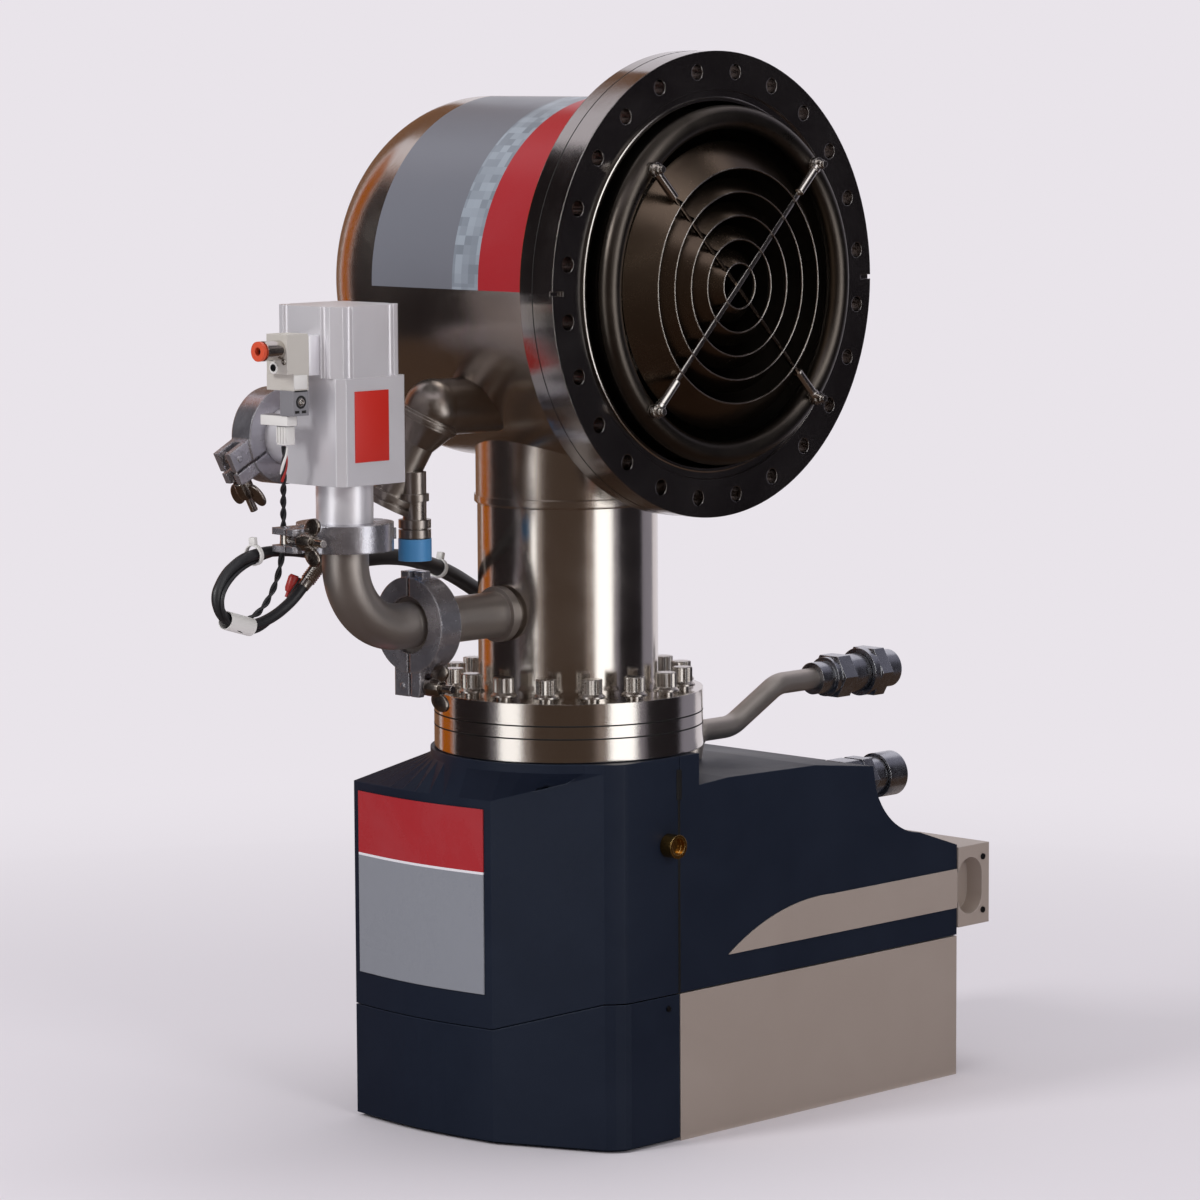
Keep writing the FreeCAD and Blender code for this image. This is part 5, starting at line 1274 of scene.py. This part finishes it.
@dataclass
class InletTrim:
    """The louvers' lips in bright steel as a painted highlight, their crossed strips with end rods, one strip
    in the louvers' dark tone as painted shade, and the flange's ridge and seam.

    A strip's row holds its name, its turn in degrees, half its width, how far its face lies behind the
    louvers', its finish and the nodes that it stands for.
    """

    first: float = 0.0128
    pitch: float = 0.0128
    rings: int = 5
    lip: float = 0.0003
    lip_sides: int = 8
    strips: tuple[tuple[str, float, float, float, str, tuple[str, ...]], ...] = (
        ("bright_strip", 135, 0.0015, 0.0004, "bright_steel", ("louver_cross_bars",)),
        # The second bar of the same cross, in the louvers' dark tone as painted shade.
        ("shaded_strip", 45, 0.0010, 0.0014, "louver_nickel", ()),
    )
    strip_deep: float = 0.0020
    strip_over: float = 0.002
    rod_inner: float = 0.069
    rod_outer: float = 0.089
    rod_sunk: float = 0.0005
    flange_radius: float = 0.1265
    seam: float = 0.1000
    seam_half: float = 0.0003
    seam_deep: float = 0.002
    seam_proud: float = 0.00006
    ridge: float = 0.1105

    def build(self, finishes: Finishes) -> None:
        """Builds the lips, the strips with their rods, then the flange's details.

        Args:
            finishes: the finishes to dress it in.
        """
        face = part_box("louver_rings")[1][0]
        turns = [math.tau * index / self.lip_sides for index in range(self.lip_sides)]
        shape = Shape()
        for index in range(self.rings):
            radius = self.first + self.pitch * index - self.lip
            lip = [(radius + self.lip * math.cos(turn), face + self.lip * math.sin(turn)) for turn in turns]
            shape.lathe(lip, INLET, Vector((1, 0, 0)), steps=96, closed=True)
        # The lips are the louvers' own rolled edges; bright steel on them is a painted highlight.
        shape.done("highlighted_louver_lips", finishes["bright_steel"], "base", "black_louver")
        for name, angle, half, drop, finish, replaced in self.strips:
            place = Matrix.Translation(INLET) @ Matrix.Rotation(math.radians(angle), 4, "X")
            strip = Shape()
            strip.block((face - drop - self.strip_deep, -half, -self.rod_inner - self.strip_over),
                        (face - drop, half, self.rod_inner + self.strip_over), place, bevel=FINE_BEVEL)
            strip.done(name, finishes[finish], "base", "nickel_copper", replaced)
            self.rods(name + "_rods", face - drop, place, finishes["bright_steel"])
        self.flange_details(finishes)

    def rods(self, name: str, front: float, place: Matrix, finish: bpy.types.Material) -> None:
        """Builds the round rods at a strip's two ends.

        Args:
            name: the piece's name.
            front: the place of the strip's front face along the inlet's axis.
            place: the strip's frame.
            finish: the rods' material.
        """
        rods = Shape()
        long = self.rod_outer - self.rod_inner
        for side in (1, -1):
            axis = place.to_3x3() @ Vector((0, 0, side))
            foot = place @ Vector((front - self.rod_sunk, 0, side * self.rod_inner))
            rods.lathe([(0.0, 0.0), (0.0020, 0.0), (0.0026, 0.0006), (0.0026, long - 0.003),
                        (0.0031, long - 0.0028), (0.0031, long - 0.0004), (0.0027, long), (0.0, long)],
                       foot, axis, steps=24)
        rods.done(name, finish, "base", "nickel_copper")

    def flange_details(self, finishes: Finishes) -> None:
        """Builds the seal's ridge inside the flange and the dark seam round its rim.

        Args:
            finishes: the finishes to dress it in.
        """
        way = Vector((1, 0, 0))
        ridge = Shape()
        ridge.lathe([(0.1052, self.ridge), (0.1022, self.ridge + 0.0030), (0.1012, self.ridge + 0.0034),
                     (0.1006, self.ridge + 0.0028), (0.1004, self.ridge)], INLET, way, steps=160, closed=True)
        ridge.done("seal_ridge", finishes["bright_steel"], "base", "polished_steel")
        seam = Shape()
        seam.ring(self.flange_radius - self.seam_deep, self.flange_radius + self.seam_proud,
                  self.seam - self.seam_half, self.seam + self.seam_half, INLET, way, steps=160)
        seam.done("flange_seam", finishes["dark_gap"], "base", "polished_steel")


@dataclass
class RearSockets:
    """The dark socket block in the control box's rear window, with its sockets and screws.

    Places along X are measured from the box's left side. A half, low and high make a socket's outline.
    """

    start: float = 0.040
    end: float = 0.110
    low: float = 0.0216
    high: float = 0.0540
    deep: float = 0.0060
    skin: float = 0.0002
    places: tuple[float, ...] = (0.053, 0.075, 0.097)
    frame_outline: tuple[float, float, float] = (0.0078, 0.0290, 0.0470)
    frame_thick: float = 0.0010
    room_outline: tuple[float, float, float] = (0.0058, 0.0312, 0.0448)
    room_thick: float = 0.0012
    screw_heights: tuple[float, ...] = (0.0254, 0.0506)

    def build(self, finishes: Finishes) -> None:
        """Builds the block's skin, the sockets' frames, near-black panels on the sockets' openings as painted
        shade, and the screws.

        Args:
            finishes: the finishes to dress it in.
        """
        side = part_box("module_box")[0][0]
        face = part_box("control_board")[1][1]
        skin = Shape()
        skin.block((side + self.start - self.skin, face - self.deep, self.low),
                   (side + self.end + self.skin, face + self.skin, self.high + self.skin), bevel=0.0004)
        skin.done("socket_block", finishes["filled_plastic"], "base", "black_metal")
        frames, room_shades, screws = Shape(), Shape(), Shape()
        for place in self.places:
            middle = side + place
            half, low, high = self.frame_outline
            frames.block((middle - half, face, low), (middle + half, face + self.frame_thick, high),
                         bevel=0.0003)
            # Each socket's room gets a near-black panel: painted shade of its opening.
            half, low, high = self.room_outline
            room_shades.block((middle - half, face, low), (middle + half, face + self.room_thick, high))
            for height in self.screw_heights:
                screws.lathe([(0.0, 0.0), (0.0016, 0.0), (0.0016, 0.0006), (0.0010, 0.0010), (0.0, 0.0010)],
                             Vector((middle, face, height)), Vector((0, 1, 0)), steps=20)
        frames.done("socket_frames", finishes["grey_plastic"], "base", "black_metal")
        room_shades.done("socket_room_shade", finishes["dark_gap"], "base", "black_metal")
        screws.done("socket_screws", finishes["bright_steel"], "base", "polished_steel")


@dataclass
class CoverSeams:
    """Dark joints of the covers and between the stacked flanges.

    A cover's joint is a row of how far it reaches to either side of the split, its low and high ends,
    and how far it stands out.
    """

    side: float = 0.078
    split: float = 0.008
    cover_joints: tuple[tuple[float, float, float, float, float], ...] = (
        (0.0009, 0.0009, 0.085, 0.204, 0.00012), (0.0020, 0.0022, 0.1935, 0.2105, 0.00016),
    )
    cover_deep: float = 0.001
    flange: float = 0.076
    flange_joints: tuple[float, ...] = (0.2314, 0.2386)
    flange_deep: float = 0.002
    flange_proud: float = 0.00006
    flange_half: float = 0.0004
    skin_angle: float = 13

    def build(self, finishes: Finishes) -> None:
        """Builds the joints as thin dark strips set almost flush.

        Args:
            finishes: the finishes to dress it in.
        """
        shape = Shape()
        for before, behind, low, high, proud in self.cover_joints:
            shape.block((self.side - self.cover_deep, self.split - before, low),
                        (self.side + proud, self.split + behind, high))
        shape.done("cover_joint", finishes["dark_gap"], "base", "navy_plastic")
        rings = Shape()
        for height in self.flange_joints:
            rings.ring(self.flange - self.flange_deep, self.flange + self.flange_proud, -self.flange_half,
                       self.flange_half, UP * height, UP, steps=128)
        rings.done("flange_joints", finishes["dark_gap"], "base", "polished_steel")
        self.soften("upper_front_cover", finishes["navy_plastic"])

    def soften(self, node: str, finish: bpy.types.Material) -> None:
        """Stands a welded, smoothly shaded copy in for a faceted node.

        Args:
            node: the node's name.
            finish: its material.
        """
        shape = Shape()
        shape.mesh.from_mesh(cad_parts[node].data)
        bmesh.ops.remove_doubles(shape.mesh, verts=shape.mesh.verts, dist=2e-6)
        shape.done(node + "_skin", finish, "base", "navy_plastic", (node,), smooth_angle=self.skin_angle)


@dataclass
class Studio:
    """The floor, the lamps, the cards that only reflections meet, and the camera.

    A lamp's row holds its name, its place, its side in metres and its power in watts. A card's row holds
    its name, its first and last edge in degrees rightwards from the camera, its height, its colour and
    its strength.
    """

    azimuth: float = 44.33
    pitch: float = 6.63
    roll: float = -0.29
    target: tuple[float, float, float] = (0.00975, 0.01583, 0.29943)
    distance: float = 2.69578
    lens: float = 143.19
    backdrop: str = "e9e4ea"
    surround: str = "f2f0f4"
    surround_strength: float = 0.55
    floor_radius: float = 30
    floor_rough: float = 0.7
    floor_gloss: float = 0.1
    fade_start: float = 0.35
    fade_end: float = 1.3
    lamp_aim: tuple[float, float, float] = (0, 0, 0.3)
    lamps: tuple[tuple[str, tuple[float, float, float], float, float], ...] = (
        ("key", (-0.6, -2.6, 1.9), 0.6, 34),
        ("fill", (2.8, -0.6, 1.2), 0.9, 16),
        ("top", (0.2, 0.3, 2.6), 1.2, 16),
    )
    card_radius: float = 1.0
    card_foot: float = 0.002
    card_step: float = 6
    cards: tuple[tuple[str, float, float, float, str, float], ...] = (
        ("far_left", -170, -140, 1.6, "7f5d46", 1.0),
        ("amber_left", -136, -114, 1.3, "a85c18", 1.0),
        ("dark_left", -112, -68, 1.6, "262122", 1.0),
        ("half_far_left", -68, -59, 1.6, "6f6b70", 1.0),
        ("bright_left", -59, -39, 1.5, "ffffff", 1.6),
        ("half_left", -39, -31, 1.4, "958a84", 1.0),
        ("front", -31, 23, 1.2, "4a3d34", 1.0),
        ("half_right", 23, 34, 1.2, "8d8079", 1.0),
        ("bright_right", 34, 58, 1.6, "ffffff", 1.9),
        ("half_far_right", 58, 67, 1.6, "86818a", 1.0),
        ("dark_right", 67, 108, 1.6, "1e1b1e", 1.0),
        ("grey_right", 108, 136, 1.6, "8e8b96", 1.0),
    )
    roof_height: float = 2.2
    roof_colour: str = "2a221d"
    under_height: float = 0.0015
    under_colour: str = "4a3a30"

    def directions(self) -> tuple[Vector, Vector, Vector]:
        """Works out the camera's directions.

        Returns:
            Its right, up and backward directions.
        """
        turn, tilt, roll = (math.radians(v) for v in (self.azimuth, self.pitch, self.roll))
        back = Vector((math.sin(turn) * math.cos(tilt), -math.cos(turn) * math.cos(tilt), math.sin(tilt)))
        right = Vector((math.cos(turn), math.sin(turn), 0))
        up = back.cross(right)
        rolled_right = right * math.cos(roll) + up * math.sin(roll)
        rolled_up = up * math.cos(roll) - right * math.sin(roll)
        return rolled_right, rolled_up, back

    def camera(self) -> None:
        """Places the camera where the photograph was taken from."""
        right, up, back = self.directions()
        data = bpy.data.cameras.new("camera")
        data.lens = self.lens
        data.sensor_width = 36
        data.clip_end = 60
        holder = put_in_scene("camera", data)
        turn = Matrix((right, up, back)).transposed().to_4x4()
        holder.matrix_world = Matrix.Translation(Vector(self.target) + back * self.distance) @ turn
        bpy.context.scene.camera = holder

    def lamp(self, name: str, at: Vector, size: float, power: float) -> None:
        """Adds a square soft lamp that faces the pump.

        Args:
            name: the lamp's name.
            at: where it stands.
            size: its side in metres.
            power: its power in watts.
        """
        data = bpy.data.lights.new(name, "AREA")
        data.size = size
        data.energy = power
        holder = put_in_scene(name, data)
        holder.location = at
        aim = Vector(self.lamp_aim) - at
        holder.rotation_euler = aim.to_track_quat("-Z", "Y").to_euler()

    def card(self, name: str, start: float, end: float, high: float, colour: str, strength: float) -> None:
        """Adds a curved card round the pump that only reflections show.

        Args:
            name: the card's name.
            start: its first edge, in degrees rightwards from the camera, seen from above.
            end: its last edge.
            high: its top's height.
            colour: its colour.
            strength: how strongly it glows.
        """
        mesh = bmesh.new()
        front = math.radians(self.azimuth - 90)
        first = front + math.radians(start)
        ends = [mesh.verts.new((self.card_radius * math.cos(first), self.card_radius * math.sin(first), z))
                for z in (self.card_foot, high)]
        edge = mesh.edges.new(ends)
        steps = max(2, round(abs(end - start) / self.card_step))
        bmesh.ops.spin(mesh, geom=ends + [edge], cent=(0, 0, 0), axis=(0, 0, 1),
                       angle=math.radians(end - start), steps=steps)
        self.show_only_in_gloss(name, mesh, colour, strength)

    def show_only_in_gloss(self, name: str, mesh: bmesh.types.BMesh, colour: str, strength: float) -> None:
        """Turns a mesh into a stage card that no eye, shadow or soft light meets.

        Args:
            name: the card's name.
            mesh: its mesh, which is freed.
            colour: its colour.
            strength: how strongly it glows.
        """
        data = bpy.data.meshes.new(name)
        mesh.to_mesh(data)
        mesh.free()
        made = bpy.data.materials.new(name)
        made.use_nodes = True
        sheet = NodeSheet(made.node_tree)
        made.node_tree.nodes.remove(made.node_tree.nodes["Principled BSDF"])
        glow = sheet.add("Emission", Color=linear(colour), Strength=strength)
        sheet.join(glow.outputs[0], made.node_tree.nodes["Material Output"].inputs["Surface"])
        data.materials.append(made)
        piece = put_in_scene(name, data)
        piece.visible_camera = False
        piece.visible_diffuse = False
        piece.visible_shadow = False
        piece.visible_transmission = False

    def floor(self) -> None:
        """Lays the floor, which fades into the backdrop far from the pump."""
        mesh = bmesh.new()
        bmesh.ops.create_circle(mesh, cap_ends=True, segments=96, radius=self.floor_radius)
        data = bpy.data.meshes.new("studio_floor")
        mesh.to_mesh(data)
        mesh.free()
        made = bpy.data.materials.new("studio_floor")
        made.use_nodes = True
        tree = made.node_tree
        sheet = NodeSheet(tree)
        shader = tree.nodes["Principled BSDF"]
        shader.inputs["Base Color"].default_value = linear(self.backdrop)
        shader.inputs["Roughness"].default_value = self.floor_rough
        shader.inputs["Specular IOR Level"].default_value = self.floor_gloss
        glow = sheet.add("Emission", Color=linear(self.backdrop), Strength=1.0)
        place = sheet.add("TexCoord")
        reach = sheet.add("VectorMath", operation="LENGTH")
        sheet.join(place.outputs["Object"], reach.inputs[0])
        fade = sheet.add("MapRange", interpolation_type="SMOOTHSTEP", From_Min=self.fade_start,
                         From_Max=self.fade_end)
        sheet.join(reach.outputs["Value"], fade.inputs["Value"])
        both = sheet.mix_shaders(fade.outputs[0], shader.outputs[0], glow.outputs[0])
        sheet.join(both, tree.nodes["Material Output"].inputs["Surface"])
        data.materials.append(made)
        put_in_scene("studio_floor", data)

    def world(self) -> None:
        """Makes the pale surround: as it is for the eye and for gloss, softer as a light."""
        world = bpy.data.worlds.new("studio")
        world.use_nodes = True
        bpy.context.scene.world = world
        tree = world.node_tree
        sheet = NodeSheet(tree)
        soft = tree.nodes["Background"]
        soft.inputs["Color"].default_value = linear(self.surround)
        soft.inputs["Strength"].default_value = self.surround_strength
        seen = sheet.add("Background", Color=linear(self.backdrop), Strength=1.0)
        path = sheet.add("LightPath")
        eye = sheet.maths("MAXIMUM", path.outputs["Is Camera Ray"], path.outputs["Is Glossy Ray"])
        eye = sheet.maths("MAXIMUM", eye, path.outputs["Is Transmission Ray"])
        both = sheet.mix_shaders(eye, soft.outputs[0], seen.outputs[0])
        sheet.join(both, tree.nodes["World Output"].inputs["Surface"])

    def build(self) -> None:
        """Sets up the whole studio."""
        bpy.context.scene.view_settings.view_transform = "Standard"
        self.camera()
        self.world()
        self.floor()
        for name, at, size, power in self.lamps:
            self.lamp(name, Vector(at), size, power)
        for name, start, end, high, colour, strength in self.cards:
            self.card("card_" + name, start, end, high, colour, strength)
        roof = bmesh.new()
        bmesh.ops.create_grid(roof, x_segments=1, y_segments=1, size=1.0,
                              matrix=Matrix.Translation((0, 0, self.roof_height)))
        self.show_only_in_gloss("card_roof", roof, self.roof_colour, 1.0)
        under = bmesh.new()
        bmesh.ops.create_circle(under, cap_ends=True, segments=64, radius=self.card_radius,
                                matrix=Matrix.Translation((0, 0, self.under_height)))
        self.show_only_in_gloss("card_under", under, self.under_colour, 1.0)


def main() -> None:
    """Builds the studio, dresses the solids and adds the finer pieces."""
    logging.basicConfig(level=logging.INFO, format="%(name)s: %(message)s")
    Studio().build()
    finishes = Finishes()
    finishes.dress_nodes()
    for part in (FlangeScrews(), VesselPrint(), ValvePlate(), SolenoidTrim(), WingNuts(), HarnessTrim(),
                 TubeWelds(), InletTrim(), RearSockets(), CoverSeams()):
        part.build(finishes)


if __name__ == "__main__":
    main()
